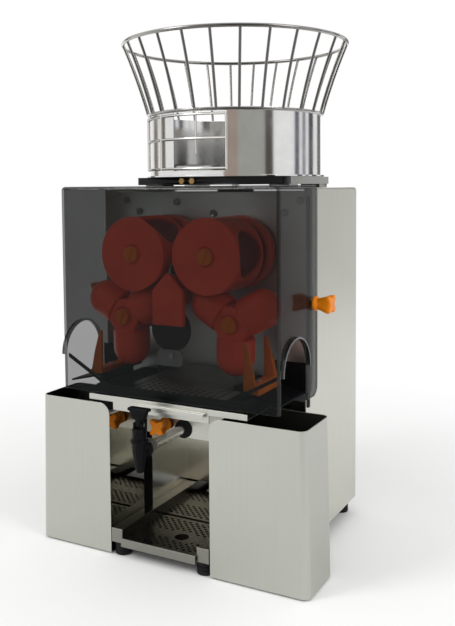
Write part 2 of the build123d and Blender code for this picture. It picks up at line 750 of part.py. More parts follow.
def centre_guard():
    # A round plate behind the holder, with a tab below for its bracket
    z = HOUSE_LOW - GUARD_BELOW
    rear = GUARD_Y + GUARD_T
    guard = rod_y(0, z, GUARD_Y, rear, GUARD_R)
    guard += block(-GUARD_TAB / 2, GUARD_TAB / 2, GUARD_Y, rear, BRACKET_TOP - BRACKET_H + 4, z)
    return guard - block(-GUARD_R, GUARD_R, GUARD_Y - 1, rear + 1, RIB_LOW - SLIDE_GAP, z + GUARD_R + 1)


def guard_bracket():
    half = BRACKET_W / 2
    plate = block(-half, half, GUARD_Y - BRACKET_T, GUARD_Y, BRACKET_TOP - BRACKET_H, BRACKET_TOP)
    plate = fillet(plate.edges().filter_by(Axis.Y), BRACKET_ROUND)
    return plate - rod_y(GUARD_SCREW_X, BRACKET_TOP - GUARD_SCREW_DROP, GUARD_Y - BRACKET_T - 1, GUARD_Y + 1,
                         SCREW_R + SCREW_GAP)


def guard_screw():
    z = BRACKET_TOP - GUARD_SCREW_DROP
    face = GUARD_Y - BRACKET_T
    head = rod_y(GUARD_SCREW_X, z, face - HEAD_T, face, HEAD_R)
    return head + rod_y(GUARD_SCREW_X, z, face - 0.5, GUARD_Y, SCREW_R)


def tray_shelf():
    left, right = NICHE_LEFT + STRIP_GAP, NICHE_RIGHT - STRIP_GAP
    shelf = block(-SHELF_X, SHELF_X, FRONT_Y, WALL_Y, SHELF_Z, SHELF_TOP)
    shelf += block(-SHELF_X, SHELF_X, FRONT_Y, FRONT_Y + SHELF_T, SHELF_Z, STRIP_TOP)
    shelf += block(left, right, FRONT_Y, FRONT_Y + SHELF_T, STRIP_LOW, SHELF_TOP)
    shelf += block(-SHELF_X, SHELF_X, WALL_Y - SHELF_T, WALL_Y, SHELF_Z, SHELF_Z + SHELF_FLANGE)
    lip = FRONT_Y - PULL_OUT
    shelf += block(PULL_LEFT, PULL_RIGHT, lip, FRONT_Y + 1, PULL_Z, PULL_Z + PULL_T)
    shelf += block(PULL_LEFT, PULL_RIGHT, lip, lip + PULL_T, PULL_Z - PULL_LIP, PULL_Z + PULL_T)
    return shelf - rod_z(DRAIN_X, DRAIN_Y, SHELF_Z - 1, SHELF_TOP + 1, DRAIN_R + 2)


def juice_tray():
    rear = WALL_Y - SHELF_T - TRAY_REAR_GAP
    floor = SHELF_TOP + TRAY_T
    tray = block(-TRAY_X, TRAY_X, TRAY_FRONT, rear, SHELF_TOP, SHELF_TOP + TRAY_H)
    tray -= block(-TRAY_X + TRAY_T, TRAY_X - TRAY_T, TRAY_FRONT + TRAY_T, rear - TRAY_T,
                  floor, SHELF_TOP + TRAY_H + 1)
    slope = (GUARD_HIGH - GUARD_LOW) / (GUARD_OUT - GUARD_IN)
    for side in (-1, 1):
        bar = [(side * (GUARD_IN - 12), GUARD_LOW - 12 * slope - GUARD_BAR),
               (side * (GUARD_IN - 12), GUARD_LOW),
               (side * GUARD_IN, GUARD_LOW), (side * GUARD_OUT, GUARD_HIGH),
               (side * GUARD_OUT, GUARD_HIGH - GUARD_BAR)]
        tray += slab_y(bar, TRAY_FRONT, TRAY_FRONT + TRAY_T)
    tray += rod_z(DRAIN_X, DRAIN_Y, floor - DRAIN_LEN, floor - 1, DRAIN_R)
    return tray - rod_z(DRAIN_X, DRAIN_Y, floor - DRAIN_LEN - 1, floor + 1, DRAIN_R - 1.5)


def strainer():
    low = SHELF_TOP + TRAY_T
    top = low + STRAINER_H
    front = TRAY_FRONT + TRAY_T + STRAINER_SIDE
    rear = WALL_Y - SHELF_T - TRAY_REAR_GAP - TRAY_T - STRAINER_SIDE
    body = block(-STRAINER_X, STRAINER_X, front, rear, low, top)
    body -= block(-STRAINER_X + STRAINER_T, STRAINER_X - STRAINER_T, front + STRAINER_T, rear - STRAINER_T,
                  low - 1, top - STRAINER_T)
    side = low + STRAINER_BACK
    edge = Polyline((-STRAINER_X, side), (-STRAINER_X, low), (STRAINER_X, low), (STRAINER_X, side))
    arch = ThreePointArc((STRAINER_X, side), (0, side + STRAINER_ARCH), (-STRAINER_X, side))
    plane = Plane(origin=(0, rear, 0), x_dir=(1, 0, 0), z_dir=(0, -1, 0))
    body += extrude(plane * make_face([edge, arch]), amount=STRAINER_T)
    across = int((2 * STRAINER_X - 2 * HOLE_PITCH) / HOLE_PITCH)
    along = int((rear - front - 2 * HOLE_PITCH) / HOLE_PITCH)
    mid = (front + rear) / 2
    holes = []
    for i in range(across + 1):
        for j in range(along + 1):
            x = (i - across / 2) * HOLE_PITCH
            y = mid + (j - along / 2) * HOLE_PITCH
            holes.append(rod_z(x, y, top - STRAINER_T - 1, top + 1, HOLE_R))
    return body - holes


def slide_z(x):
    # Top of the peel slide at a distance from the middle
    return SLIDE_HIGH + (SLIDE_LOW - SLIDE_HIGH) * (abs(x) - SLIDE_IN) / (SLIDE_OUT - SLIDE_IN)


def peel_slide(side):
    wall = side * TRAY_X
    step = side * TRAY_T
    tray_top = SHELF_TOP + TRAY_H
    outline = [(side * SLIDE_IN, SLIDE_HIGH), (side * SLIDE_OUT, SLIDE_LOW),
               (side * SLIDE_OUT, SLIDE_LOW - SLIDE_T),
               (side * SLIDE_IN, SLIDE_HIGH - SLIDE_T)]
    leg = [(wall, tray_top), (wall, slide_z(wall) - 1),
           (wall - step, slide_z(wall - step) - 1), (wall - step, tray_top)]
    chute = [(side * CHUTE_IN, slide_z(CHUTE_IN) - 1), (side * SLIDE_OUT, SLIDE_LOW - 1),
             (side * SLIDE_OUT, CHUTE_TOP),
             (side * CHUTE_IN, CHUTE_TOP)]
    slide = slab_y(outline, SLIDE_FRONT, SLIDE_REAR) + slab_y(leg, SLIDE_FRONT, SLIDE_REAR)
    return slide + slab_y(chute, SLIDE_REAR - SLIDE_T, SLIDE_REAR)


def stripper(side):
    base = [(side * PRONG_IN, slide_z(PRONG_IN)), (side * PRONG_OUT, slide_z(PRONG_OUT)),
            (side * PRONG_OUT, FORK_BASE - 4), (side * (PRONG_OUT - 8), FORK_BASE),
            (side * PRONG_IN, FORK_BASE)]
    fork = slab_y(base, PRONG_FRONT + 3, PRONG_REAR)
    prong = [(side * PRONG_IN, FORK_BASE - 2), (side * (PRONG_OUT - 4), FORK_BASE - 2),
             (side * (PRONG_OUT - 10), FORK_BASE + 26), (side * (PRONG_IN + 4), PRONG_TOP),
             (side * PRONG_IN, PRONG_TOP)]
    fork += slab_y(prong, PRONG_FRONT + 3, PRONG_FRONT + PRONG_T)
    fork += slab_y(prong, PRONG_REAR - PRONG_T, PRONG_REAR)
    x, y = stripper_screw_place(side)
    return fork - rod_z(x, y, SLIDE_LOW - 5, FORK_BASE + 5, SCREW_R + SCREW_GAP)


def stripper_screw_place(side):
    return side * (PRONG_IN + 8), (PRONG_FRONT + PRONG_REAR) / 2


def stripper_screws():
    made = []
    for side in (-1, 1):
        x, y = stripper_screw_place(side)
        made.append(rod_z(x, y, FORK_BASE, FORK_BASE + HEAD_T, HEAD_R)
                    + rod_z(x, y, slide_z(x) + 1, FORK_BASE + 0.5, SCREW_R))
    return made


def juice_tank():
    tank = block(TANK_LEFT, TANK_RIGHT, TANK_FRONT, TANK_REAR, TANK_LOW, DECK_Z)
    tank -= block(TANK_LEFT + TANK_T, TANK_RIGHT - TANK_T, TANK_FRONT + TANK_T, TANK_REAR - TANK_T,
                  TANK_LOW + TANK_T, DECK_Z + 1)
    tank -= rod_y(TAP_X, TAP_Z, TANK_FRONT - 1, TANK_FRONT + TANK_T + 1, PIPE_R + SHAFT_GAP)
    stud_front = TANK_FRONT - TANK_STUD_OUT - LOBE_STUD_IN
    return tank + rod_y(TANK_KNOB_X, TANK_KNOB_Z, stud_front, TANK_FRONT + TANK_T / 2, LOBE_STUD_R)


def lobe_outline(radius, waist):
    # Four lobes with hollow flanks between them
    pieces = []
    for k in range(4):
        turn = radians(90 * k)
        for a, b, c in ((-13, 0, 13), (13, 45, 77)):
            spots = []
            for angle in (a, b, c):
                r = waist if angle == 45 else radius
                spots.append((r * cos(turn + radians(angle)), r * sin(turn + radians(angle))))
            pieces.append(ThreePointArc(*spots))
    return make_face(pieces)


def lobed_knob():
    # Along +Z from its seat at the origin, hollow for its stud
    knob = Pos(0, 0, LOBE_BASE_T / 2) * Cylinder(LOBE_BASE_R, LOBE_BASE_T)
    small = lobe_outline(LOBE_R - 4, LOBE_WAIST - 1.5)
    grip = extrude(Pos(0, 0, LOBE_BASE_T - 1) * small, amount=LOBE_LEN - LOBE_BASE_T - 11)
    grip += extrude(Pos(0, 0, LOBE_LEN - 13) * lobe_outline(LOBE_R, LOBE_WAIST), amount=13)
    knob += grip
    bore = Cylinder(LOBE_STUD_R + SHAFT_GAP, LOBE_STUD_IN + 2)
    return Rot(0, 0, LOBE_TURN) * (knob - Pos(0, 0, LOBE_STUD_IN / 2) * bore)


def tank_knob():
    return Pos(TANK_KNOB_X, TANK_FRONT - TANK_STUD_OUT, TANK_KNOB_Z) * Rot(90, 0, 0) * lobed_knob()


def cover_knob(side):
    return Pos(side * (COVER_X + SLIDE_GAP), STUD_Y, STUD_Z) * Rot(0, side * 90, 0) * lobed_knob()


def cover_studs():
    return [rod_x(STUD_Y, STUD_Z, *sorted((side * BODY_X, side * (COVER_X + SLIDE_GAP + LOBE_STUD_IN - 0.5))),
                  LOBE_STUD_R) for side in (-1, 1)]


def tap_body():
    tap = rod_z(TAP_X, TAP_Y, SPOUT_Z + 28, BARREL_TOP, BARREL_R)
    tap += rod_z(TAP_X, TAP_Y, COLLAR_Z, COLLAR_Z + COLLAR_H, COLLAR_R)
    tap += Pos(TAP_X, TAP_Y, SPOUT_Z + 15) * Cone(SPOUT_R, BARREL_R, 30)
    tap += rod_y(TAP_X, TAP_Z, TAP_Y, BOSS_END, BOSS_R)
    tap += rod_y(TAP_X, TAP_Z, BOSS_END - FLANGE_T, BOSS_END, FLANGE_R)
    for side in (-1, 1):
        inner = TAP_X + side * (TONGUE_W / 2 + SLIDE_GAP)
        near, far = sorted((inner, inner + side * EAR_T))
        ear = block(near, far, TAP_Y - 5, TAP_Y + 5, BARREL_TOP - 1, EAR_TOP)
        tap += ear - rod_x(TAP_Y, PIN_Z, near - 1, far + 1, PIN_R + SHAFT_GAP)
    return tap - rod_z(TAP_X, TAP_Y, SPOUT_Z - 1, SPOUT_Z + 22, SPOUT_BORE)


def tap_lever():
    half = TONGUE_W / 2
    lever = rod_x(TAP_Y, PIN_Z, TAP_X - half, TAP_X + half, LEVER_R)
    lever += block(TAP_X - half, TAP_X + half, TAP_Y - LEVER_R, TAP_Y + LEVER_R, PIN_Z, EAR_TOP + 5)
    low = EAR_TOP + 3.5
    low_w, top_w = LEVER_W_LOW / 2, LEVER_W_TOP / 2
    paddle = [(TAP_X - low_w, low), (TAP_X + low_w, low), (TAP_X + low_w + 1, low + 5),
              (TAP_X + top_w, LEVER_TOP - 5), (TAP_X + top_w, LEVER_TOP), (TAP_X - top_w, LEVER_TOP),
              (TAP_X - top_w, LEVER_TOP - 5), (TAP_X - low_w - 1, low + 5)]
    grip = slab_y(paddle, TAP_Y - LEVER_T / 2, TAP_Y + LEVER_T / 2)
    grip = fillet(grip.edges().group_by(Axis.Z)[-1].filter_by(Axis.X), 3)
    lever += grip
    return lever - rod_x(TAP_Y, PIN_Z, TAP_X - half - 1, TAP_X + half + 1, PIN_R + SHAFT_GAP)


def tap_pin():
    reach = TONGUE_W / 2 + SLIDE_GAP + EAR_T
    return rod_x(TAP_Y, PIN_Z, TAP_X - reach, TAP_X + reach, PIN_R)


def tap_nut():
    nut = hex_y(TAP_X, TAP_Z, BOSS_END, BOSS_END + NUT_LEN, NUT_AF)
    return nut - rod_y(TAP_X, TAP_Z, BOSS_END - 1, BOSS_END + NUT_LEN + 1, PIPE_R + SHAFT_GAP)


def tap_pipe():
    end = TANK_FRONT + TANK_T + 4
    pipe = rod_y(TAP_X, TAP_Z, BOSS_END, end, PIPE_R)
    return pipe - rod_y(TAP_X, TAP_Z, BOSS_END - 1, end + 1, PIPE_R - PIPE_WALL)


def pipe_grommet():
    ring = rod_y(TAP_X, TAP_Z, TANK_FRONT - GROMMET_T, TANK_FRONT, GROMMET_R)
    ring = fillet(ring.edges().group_by(Axis.Y)[0], 1.2)
    return ring - rod_y(TAP_X, TAP_Z, TANK_FRONT - GROMMET_T - 1, TANK_FRONT + 1, PIPE_R + SHAFT_GAP)


def front_cover():
    cover = block(-COVER_X, COVER_X, COVER_FRONT, COVER_REAR, COVER_LOW, COVER_TOP)
    front = cover.faces().sort_by(Axis.Y)[0]
    cover = fillet(front.edges().filter_by(Axis.Z) + front.edges().sort_by(Axis.Z)[-1:]
                   + cover.faces().sort_by(Axis.Z)[-1].edges().filter_by(Axis.Y), COVER_ROUND)
    rear = cover.faces().sort_by(Axis.Y)[-1]
    cover = fillet(rear.edges().sort_by(Axis.Z)[:1], COVER_CORNER)
    inside = COVER_X - COVER_T
    room = block(-inside, inside, COVER_FRONT + COVER_T, COVER_REAR + 20, COVER_LOW - 20, COVER_TOP - COVER_T)
    front = room.faces().sort_by(Axis.Y)[0]
    room = fillet(front.edges().filter_by(Axis.Z) + front.edges().sort_by(Axis.Z)[-1:]
                  + room.faces().sort_by(Axis.Z)[-1].edges().filter_by(Axis.Y), COVER_ROUND - COVER_T)
    cover -= room
    reach = COVER_X + HOOD_OUT + 5
    spring = ARCH_TOP - ARCH_R
    for side in (-1, 1):
        root, end = sorted((side * (COVER_X - COVER_T / 2), side * (COVER_X + HOOD_OUT)))
        hood = rod_x(ARCH_Y, spring, root, end, ARCH_R + HOOD_T)
        wide = 2 * ARCH_R
        cover += hood - block(root - 1, end + 1, ARCH_Y - wide, ARCH_Y + wide, spring - wide, spring)
    slot = LOBE_STUD_R + STUD_SLOT_GAP
    cover -= block(-reach, reach, ARCH_Y - ARCH_R, ARCH_Y + ARCH_R, COVER_LOW - 1, spring)
    cover -= rod_x(ARCH_Y, spring, -reach, reach, ARCH_R)
    cover -= block(-reach, reach, STUD_Y, COVER_REAR + 1, STUD_Z - slot, STUD_Z + slot)
    cover -= rod_x(STUD_Y, STUD_Z, -reach, reach, slot)
    return cover - block(-NOTCH_HALF, NOTCH_HALF, NOTCH_Y, COVER_REAR + 1,
                         COVER_TOP - COVER_T - 1, COVER_TOP + 1)


def edge_seals():
    front = BODY_FRONT + SEAL_SET
    return [block(*sorted((side * BODY_X, side * (BODY_X + SEAL_LIP))), front, front + SEAL_W,
                  DECK_TOP, SEAL_TOP) for side in (-1, 1)]


def peel_bin(side):
    inner = NICHE_RIGHT if side > 0 else NICHE_LEFT
    outer = side * BIN_X
    lean = side * BIN_FLARE / (BIN_TOP - BIN_LIFT)
    low_out = outer + lean * (BIN_TOP - BIN_LIFT)
    body = slab_y([(inner, BIN_LIFT), (low_out, BIN_LIFT), (outer, BIN_TOP), (inner, BIN_TOP)], 0, BIN_D)
    corners = body.edges().filter_by(Axis.X, reverse=True).filter_by(Axis.Y, reverse=True).sort_by(Axis.X)
    body = fillet(corners[-2:] if side > 0 else corners[:2], BIN_EDGE)
    floor, above = BIN_LIFT + BIN_T, BIN_TOP + 5
    wall_in, wall_out = inner + side * BIN_T, outer - side * BIN_T
    room = slab_y([(wall_in, floor), (wall_out + lean * (BIN_TOP - floor), floor),
                   (wall_out + lean * (BIN_TOP - above), above), (wall_in, above)], BIN_T, BIN_D - BIN_T)
    corners = room.edges().filter_by(Axis.X, reverse=True).filter_by(Axis.Y, reverse=True).sort_by(Axis.X)
    body -= fillet(corners[-2:] if side > 0 else corners[:2], BIN_EDGE - BIN_T)
    turn = inner + side * BIN_CORNER
    edge, far_side = sorted((inner - side, turn))
    corner = block(edge, far_side, -1, BIN_D + 1, BIN_TOP - BIN_CORNER, BIN_TOP + 1)
    corner -= rod_y(turn, BIN_TOP - BIN_CORNER, -2, BIN_D + 2, BIN_CORNER)
    body -= corner
    mid = (inner + side * IN_X) / 2
    hook = block(mid - BIN_HOOK_W / 2, mid + BIN_HOOK_W / 2, BIN_D - BIN_T / 2, PANEL_Y - SLIDE_GAP,
                 BIN_HOOK_Z, BIN_HOOK_Z + BIN_HOOK_T)
    return body + hook


def pan_sides():
    return RAIL_L + RAIL + SLIDE_GAP, RAIL_R - RAIL - SLIDE_GAP


def drip_pan():
    left, right = pan_sides()
    pan = block(left, right, PAN_FRONT, PAN_FRONT + PAN_LEN, RAIL_Z, RAIL_Z + PAN_H)
    pan -= block(left + PAN_T, right - PAN_T, PAN_FRONT + PAN_T, PAN_FRONT + PAN_LEN - PAN_T,
                 RAIL_Z + PAN_T, RAIL_Z + PAN_H + 1)
    top = RAIL_Z + PAN_H + DRIP_T
    return pan + block(left, right, PAN_FRONT - PAN_T, PAN_FRONT, top - PAN_LIP_H, top)


def drip_plate(front, rear, finger):
    left, right = pan_sides()
    low = RAIL_Z + PAN_H
    plate = block(left, right, front, rear, low, low + DRIP_T)
    across = int((right - left - 2 * DRIP_MARGIN) / DRIP_PITCH_X)
    along = int((rear - front - 2 * DRIP_MARGIN) / DRIP_PITCH_Y)
    mid_x, mid_y = (left + right) / 2, (front + rear) / 2
    finger_x, finger_y = mid_x + FINGER_X, front + FINGER_Y
    cuts = []
    for i in range(across + 1):
        for j in range(along + 1):
            x = mid_x + (i - across / 2) * DRIP_PITCH_X
            y = mid_y + (j - along / 2) * DRIP_PITCH_Y
            if finger and sqrt((x - finger_x) ** 2 + (y - finger_y) ** 2) < FINGER_R + DRIP_SLOT_L:
                continue
            lean = 30 if j % 2 else -30
            slot = Rot(0, 0, lean) * Box(DRIP_SLOT_L, DRIP_SLOT, DRIP_T + 2)
            cuts.append(Pos(x, y, low + DRIP_T / 2) * slot)
    if finger:
        cuts.append(rod_z(finger_x, finger_y, low - 1, low + DRIP_T + 1, FINGER_R))
    return plate - cuts


def hopper_bracket():
    left, right = HOP_X + BRACKET_OFF - BRACKET_HALF_W, HOP_X + BRACKET_OFF + BRACKET_HALF_W
    body = block(left, right, BRACKET_FRONT, BRACKET_REAR, BRACKET_LOW, HOP_BASE_Z)
    body = fillet(body.edges().filter_by(Axis.Z), 8)
    first = COVER_REAR + 6
    for x in (left + 4, right - PAD - 4):
        for y in (first, BRACKET_REAR - PAD - 4):
            body += block(x, x + PAD, y, y + PAD, BODY_TOP, BRACKET_LOW + 1)
    for x in BOLT_X:
        body -= rod_y(x, (BRACKET_LOW + HOP_BASE_Z) / 2, BRACKET_FRONT - 1, BRACKET_FRONT + BOLT_LEN,
                      BOLT_R + SCREW_GAP)
    return body - rod_z(HOP_X, HOP_Y, BRACKET_LOW - 1, HOP_BASE_Z + 1, FEED_HOLE_R)


def hopper_bolts():
    z = (BRACKET_LOW + HOP_BASE_Z) / 2
    return [hex_y(x, z, BRACKET_FRONT - BOLT_HEAD, BRACKET_FRONT, BOLT_AF)
            + rod_y(x, z, BRACKET_FRONT - 0.5, BRACKET_FRONT + BOLT_LEN - 1, BOLT_R) for x in BOLT_X]


def hopper_base():
    disc = rod_z(HOP_X, HOP_Y, HOP_BASE_Z, HOP_FLOOR, BASE_R)
    disc -= rod_z(DROP_X, DROP_Y, HOP_BASE_Z - 1, HOP_FLOOR + 1, DROP_R)
    return disc - rod_z(HOP_X, HOP_Y, HOP_BASE_Z - 1, HOP_FLOOR + 1, FEED_HOLE_R)


def hopper_band():
    band = rod_z(HOP_X, HOP_Y, HOP_FLOOR, BAND_TOP, BAND_R)
    band -= rod_z(HOP_X, HOP_Y, HOP_FLOOR - 1, BAND_TOP + 1, BAND_R - BAND_T)
    far = BAND_R * 1.3
    wedge = [(HOP_X, HOP_Y), hop_point(far, WINDOW_FROM), hop_point(far, (WINDOW_FROM + WINDOW_TO) / 2),
             hop_point(far, WINDOW_TO)]
    return band - slab_z(wedge, HOP_FLOOR + WINDOW_LOW, HOP_FLOOR + WINDOW_HIGH)


def ring(radius, wire, z):
    return Pos(HOP_X, HOP_Y, z) * Torus(radius, wire)


def wire_basket():
    low_z = BAND_TOP - RIM_DROP
    mid_r = (RIM_R + RING_R) / 2 - WIRE_BEND
    path = ThreePointArc((RIM_R, 0, low_z), (mid_r, 0, (low_z + RING_Z) / 2), (RING_R, 0, RING_Z))
    wire = sweep(Plane(origin=path @ 0, z_dir=path % 0) * Circle(WIRE_R), path=path)
    wires = [Pos(HOP_X, HOP_Y, 0) * Rot(0, 0, WIRE_PHASE + 360 * k / WIRE_COUNT) * wire
             for k in range(WIRE_COUNT)]
    return (ring(RIM_R, RIM_WIRE, low_z) + wires) + ring(RING_R, RING_WIRE, RING_Z)


def hop_arc(z):
    path = ThreePointArc((*hop_point(GATE_R, GATE_FROM), z),
                         (*hop_point(GATE_R, (GATE_FROM + GATE_TO) / 2), z),
                         (*hop_point(GATE_R, GATE_TO), z))
    return sweep(Plane(origin=path @ 0, z_dir=path % 0) * Circle(GATE_WIRE), path=path)


def wire_gate():
    levels = [HOP_FLOOR + level for level in GATE_LEVELS]
    low, top = levels[0] - GATE_WIRE, levels[-1] + GATE_WIRE
    gate = rod_z(*hop_point(GATE_R, GATE_TO), low, top, GATE_WIRE + 0.2)
    for angle in (GATE_FROM, GATE_POST):
        gate += rod_z(*hop_point(GATE_R, angle), low, top, GATE_WIRE + 0.2)
    gate += rod_z(*hop_point(GATE_R, GATE_MID), HOP_FLOOR + GATE_MID_LOW, levels[-1], GATE_MID_R)
    for z in levels:
        gate += hop_arc(z)
    return gate


def feed_wheel():
    # Straight arms, with room for one orange between each pair
    wheel = rod_z(HOP_X, HOP_Y, WHEEL_Z, WHEEL_TOP, WHEEL_HUB_R)
    wheel = fillet(wheel.edges().group_by(Axis.Z)[-1], 5)
    arm = block(0, WHEEL_R, -ARM_W / 2, ARM_W / 2, WHEEL_Z, WHEEL_TOP - 4)
    arm = fillet(arm.edges().filter_by(Axis.Z).group_by(Axis.X)[-1], ARM_W / 2 - 1)
    first = degrees(atan2(DROP_Y - HOP_Y, DROP_X - HOP_X)) + 180 / POCKETS
    for k in range(POCKETS):
        wheel += Pos(HOP_X, HOP_Y, 0) * Rot(0, 0, first + 360 * k / POCKETS) * arm
    return wheel - rod_z(HOP_X, HOP_Y, WHEEL_Z - 1, WHEEL_TOP - 4, FEED_SHAFT_R + SHAFT_GAP)


def feed_shaft():
    return rod_z(HOP_X, HOP_Y, BODY_TOP - SHEET - 6, WHEEL_TOP - 4.5, FEED_SHAFT_R)


def feed_motor():
    top = BODY_TOP - SHEET
    can = rod_z(HOP_X, HOP_Y, top - FEED_MOTOR_H, top, FEED_MOTOR_R)
    return can - rod_z(HOP_X, HOP_Y, top - 7, top + 1, FEED_SHAFT_R + SHAFT_GAP)


def power_switch():
    face = FLANGE_Y + SHEET
    half_w, half_h = SWITCH_W / 2, SWITCH_H / 2
    body = block(SWITCH_X - half_w + SLIDE_GAP, SWITCH_X + half_w - SLIDE_GAP, FLANGE_Y - 18, face,
                 POWER_Z - half_h + SLIDE_GAP, POWER_Z + half_h - SLIDE_GAP)
    body += block(SWITCH_X - half_w - BEZEL, SWITCH_X + half_w + BEZEL, face, face + BEZEL_T,
                  POWER_Z - half_h - BEZEL, POWER_Z + half_h + BEZEL)
    deep = ROCKER_R / 2
    wide, tall = half_w - 2, half_h - 2
    return body - block(SWITCH_X - wide, SWITCH_X + wide, face - deep, face + BEZEL_T + 1,
                        POWER_Z - tall, POWER_Z + tall)


def rocker():
    # A shallow round back on a pin, with two faces that meet at a blunt angle
    face = FLANGE_Y + SHEET
    wide = SWITCH_W / 2 - 2 - ROCKER_GAP
    tall = SWITCH_H / 2 - 2 - ROCKER_GAP - 1.5
    outline = [(face - 1, POWER_Z - tall), (face + 4.2, POWER_Z - tall), (face + 1.5, POWER_Z),
               (face + 2.6, POWER_Z + tall), (face - 1, POWER_Z + tall), (face - 3.5, POWER_Z)]
    body = slab_x(outline, SWITCH_X - wide, SWITCH_X + wide)
    return body - rod_x(face - 0.8, POWER_Z, SWITCH_X - wide - 1, SWITCH_X + wide + 1, 1.0 + SHAFT_GAP)


def rocker_pin():
    wide = SWITCH_W / 2 - 2
    return rod_x(FLANGE_Y + SHEET - 0.8, POWER_Z, SWITCH_X - wide, SWITCH_X + wide, 1.0)


def mains_inlet():
    face = FLANGE_Y + SHEET
    half_w, half_h = INLET_W / 2, INLET_H / 2
    body = block(INLET_X - half_w + SLIDE_GAP, INLET_X + half_w - SLIDE_GAP, face - INLET_DEEP, face,
                 POWER_Z - half_h + SLIDE_GAP, POWER_Z + half_h - SLIDE_GAP)
    body += block(INLET_X - half_w - BEZEL, INLET_X + half_w + BEZEL, face, face + BEZEL_T,
                  POWER_Z - half_h - BEZEL, POWER_Z + half_h + BEZEL)
    body -= block(INLET_X - half_w + 3, INLET_X + half_w - 3, face - 15, face + BEZEL_T + 1,
                  POWER_Z - half_h + 4, POWER_Z + half_h - 4)
    for x, z in ((-7, -2), (0, 2), (7, -2)):
        body += block(INLET_X + x - 1, INLET_X + x + 1, face - 16, face - 3,
                      POWER_Z + z - 2.5, POWER_Z + z + 2.5)
    return body


def all_parts():
    axes = drum_axes()
    gears = press_gears()
    seam = PAN_FRONT + PAN_LEN / 2
    parts = {
        "body_shell": [body_shell()],
        "rear_cover": [rear_cover()],
        "frame_plates": [base_plate(), deck_plate()],
        "tunnel_liner": [tunnel_liner()],
        "base_rails": base_rails(),
        "feet": front_feet() + rear_feet(),
        "press_wall": [press_wall()],
        "bearing_plate": [bearing_plate()] + plate_posts(),
        "bushes": wall_bushes() + plate_bushes(),
        "seal_rings": shaft_seals() + [pipe_grommet()],
        "gearbox": [gearbox()],
        "motor": [motor()],
        "drive_pinion": [gears["drive_pinion"], drive_shaft()],
        "knife_holder": [knife_holder()],
        "knife_blade": [knife_blade()],
        "centre_guard": [centre_guard()],
        "guard_bracket": [guard_bracket()],
        "tray_shelf": [tray_shelf()],
        "juice_tray": [juice_tray()],
        "strainer": [strainer()],
        "peel_slides": [peel_slide(-1), peel_slide(1)],
        "peel_strippers": [stripper(-1), stripper(1)],
        "screws": rear_screws() + wall_screws() + stripper_screws() + [guard_screw()],
        "juice_tank": [juice_tank()],
        "tank_knob": [tank_knob()],
        "tap_body": [tap_body()],
        "tap_lever": [tap_lever()],
        "tap_pipe": [tap_pipe(), tap_nut(), tap_pin()],
        "front_cover": [front_cover()],
        "cover_studs": cover_studs(),
        "cover_knob_left": [cover_knob(-1)],
        "cover_knob_right": [cover_knob(1)],
        "edge_seals": edge_seals(),
        "left_bin": [peel_bin(-1)],
        "right_bin": [peel_bin(1)],
        "drip_pan": [drip_pan()],
        "drip_plates": [drip_plate(PAN_FRONT, seam - SLIDE_GAP, True),
                        drip_plate(seam, PAN_FRONT + PAN_LEN, False)],
        "hopper_bracket": [hopper_bracket()],
        "hopper_bolts": hopper_bolts(),
        "hopper_base": [hopper_base()],
        "hopper_band": [hopper_band()],
        "wire_basket": [wire_basket()],
        "wire_gate": [wire_gate()],
        "feed_wheel": [feed_wheel(), feed_shaft()],
        "feed_motor": [feed_motor()],
        "power_switch": [power_switch(), rocker_pin()],
        "rocker": [rocker()],
        "mains_inlet": [mains_inlet()],
    }
    phases = {"upper_left": LEFT_CUP_PHASE, "upper_right": RIGHT_CUP_PHASE,
              "lower_left": LEFT_BALL_PHASE, "lower_right": RIGHT_BALL_PHASE}
    for name, (x, z) in axes.items():
        upper = name.startswith("upper")
        front = DRUM_FRONT if upper else HUB_FRONT
        parts[name + "_drum"] = [cup_drum(x, z, phases[name]) if upper else ball_drum(x, z, phases[name])]
        parts[name + "_shaft"] = [shaft(x, z, front), gears[name + "_gear"]]
        parts[name + "_knob"] = [drum_knob(x, z, front)]
    parts["upper_left_shaft"].append(gears["timing_gear_left"])
    parts["upper_right_shaft"].append(gears["timing_gear_right"])
    return parts


def main():
    os.makedirs("parts", exist_ok=True)
    for name, pieces in all_parts().items():
        solids = []
        for piece in pieces:
            solids += (Pos(0, -ORIGIN_Y, 0) * piece).solids()
        made = solids[0] if len(solids) == 1 else Compound(children=solids)
        export_step(made, os.path.join("parts", name + ".step"))


main()
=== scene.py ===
import math

import bmesh
import bpy
from mathutils import Matrix, Vector


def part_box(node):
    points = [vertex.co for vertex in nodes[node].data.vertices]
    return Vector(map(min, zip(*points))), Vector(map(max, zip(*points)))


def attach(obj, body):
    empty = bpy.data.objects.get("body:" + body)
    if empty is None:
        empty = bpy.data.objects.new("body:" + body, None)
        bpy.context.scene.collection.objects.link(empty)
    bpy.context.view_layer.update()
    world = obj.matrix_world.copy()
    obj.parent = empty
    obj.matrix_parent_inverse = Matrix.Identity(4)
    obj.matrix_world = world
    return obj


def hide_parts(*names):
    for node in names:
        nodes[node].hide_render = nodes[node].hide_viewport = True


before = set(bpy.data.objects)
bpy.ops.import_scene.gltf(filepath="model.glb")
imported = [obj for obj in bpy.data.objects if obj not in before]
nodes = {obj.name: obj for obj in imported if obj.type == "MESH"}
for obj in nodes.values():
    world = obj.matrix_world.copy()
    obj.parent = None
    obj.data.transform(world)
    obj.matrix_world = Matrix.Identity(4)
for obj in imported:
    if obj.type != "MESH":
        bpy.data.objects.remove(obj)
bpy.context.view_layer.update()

# Sizes of pieces are in millimetres, and become metres when a piece is made
MM = 0.001


# Shader sums

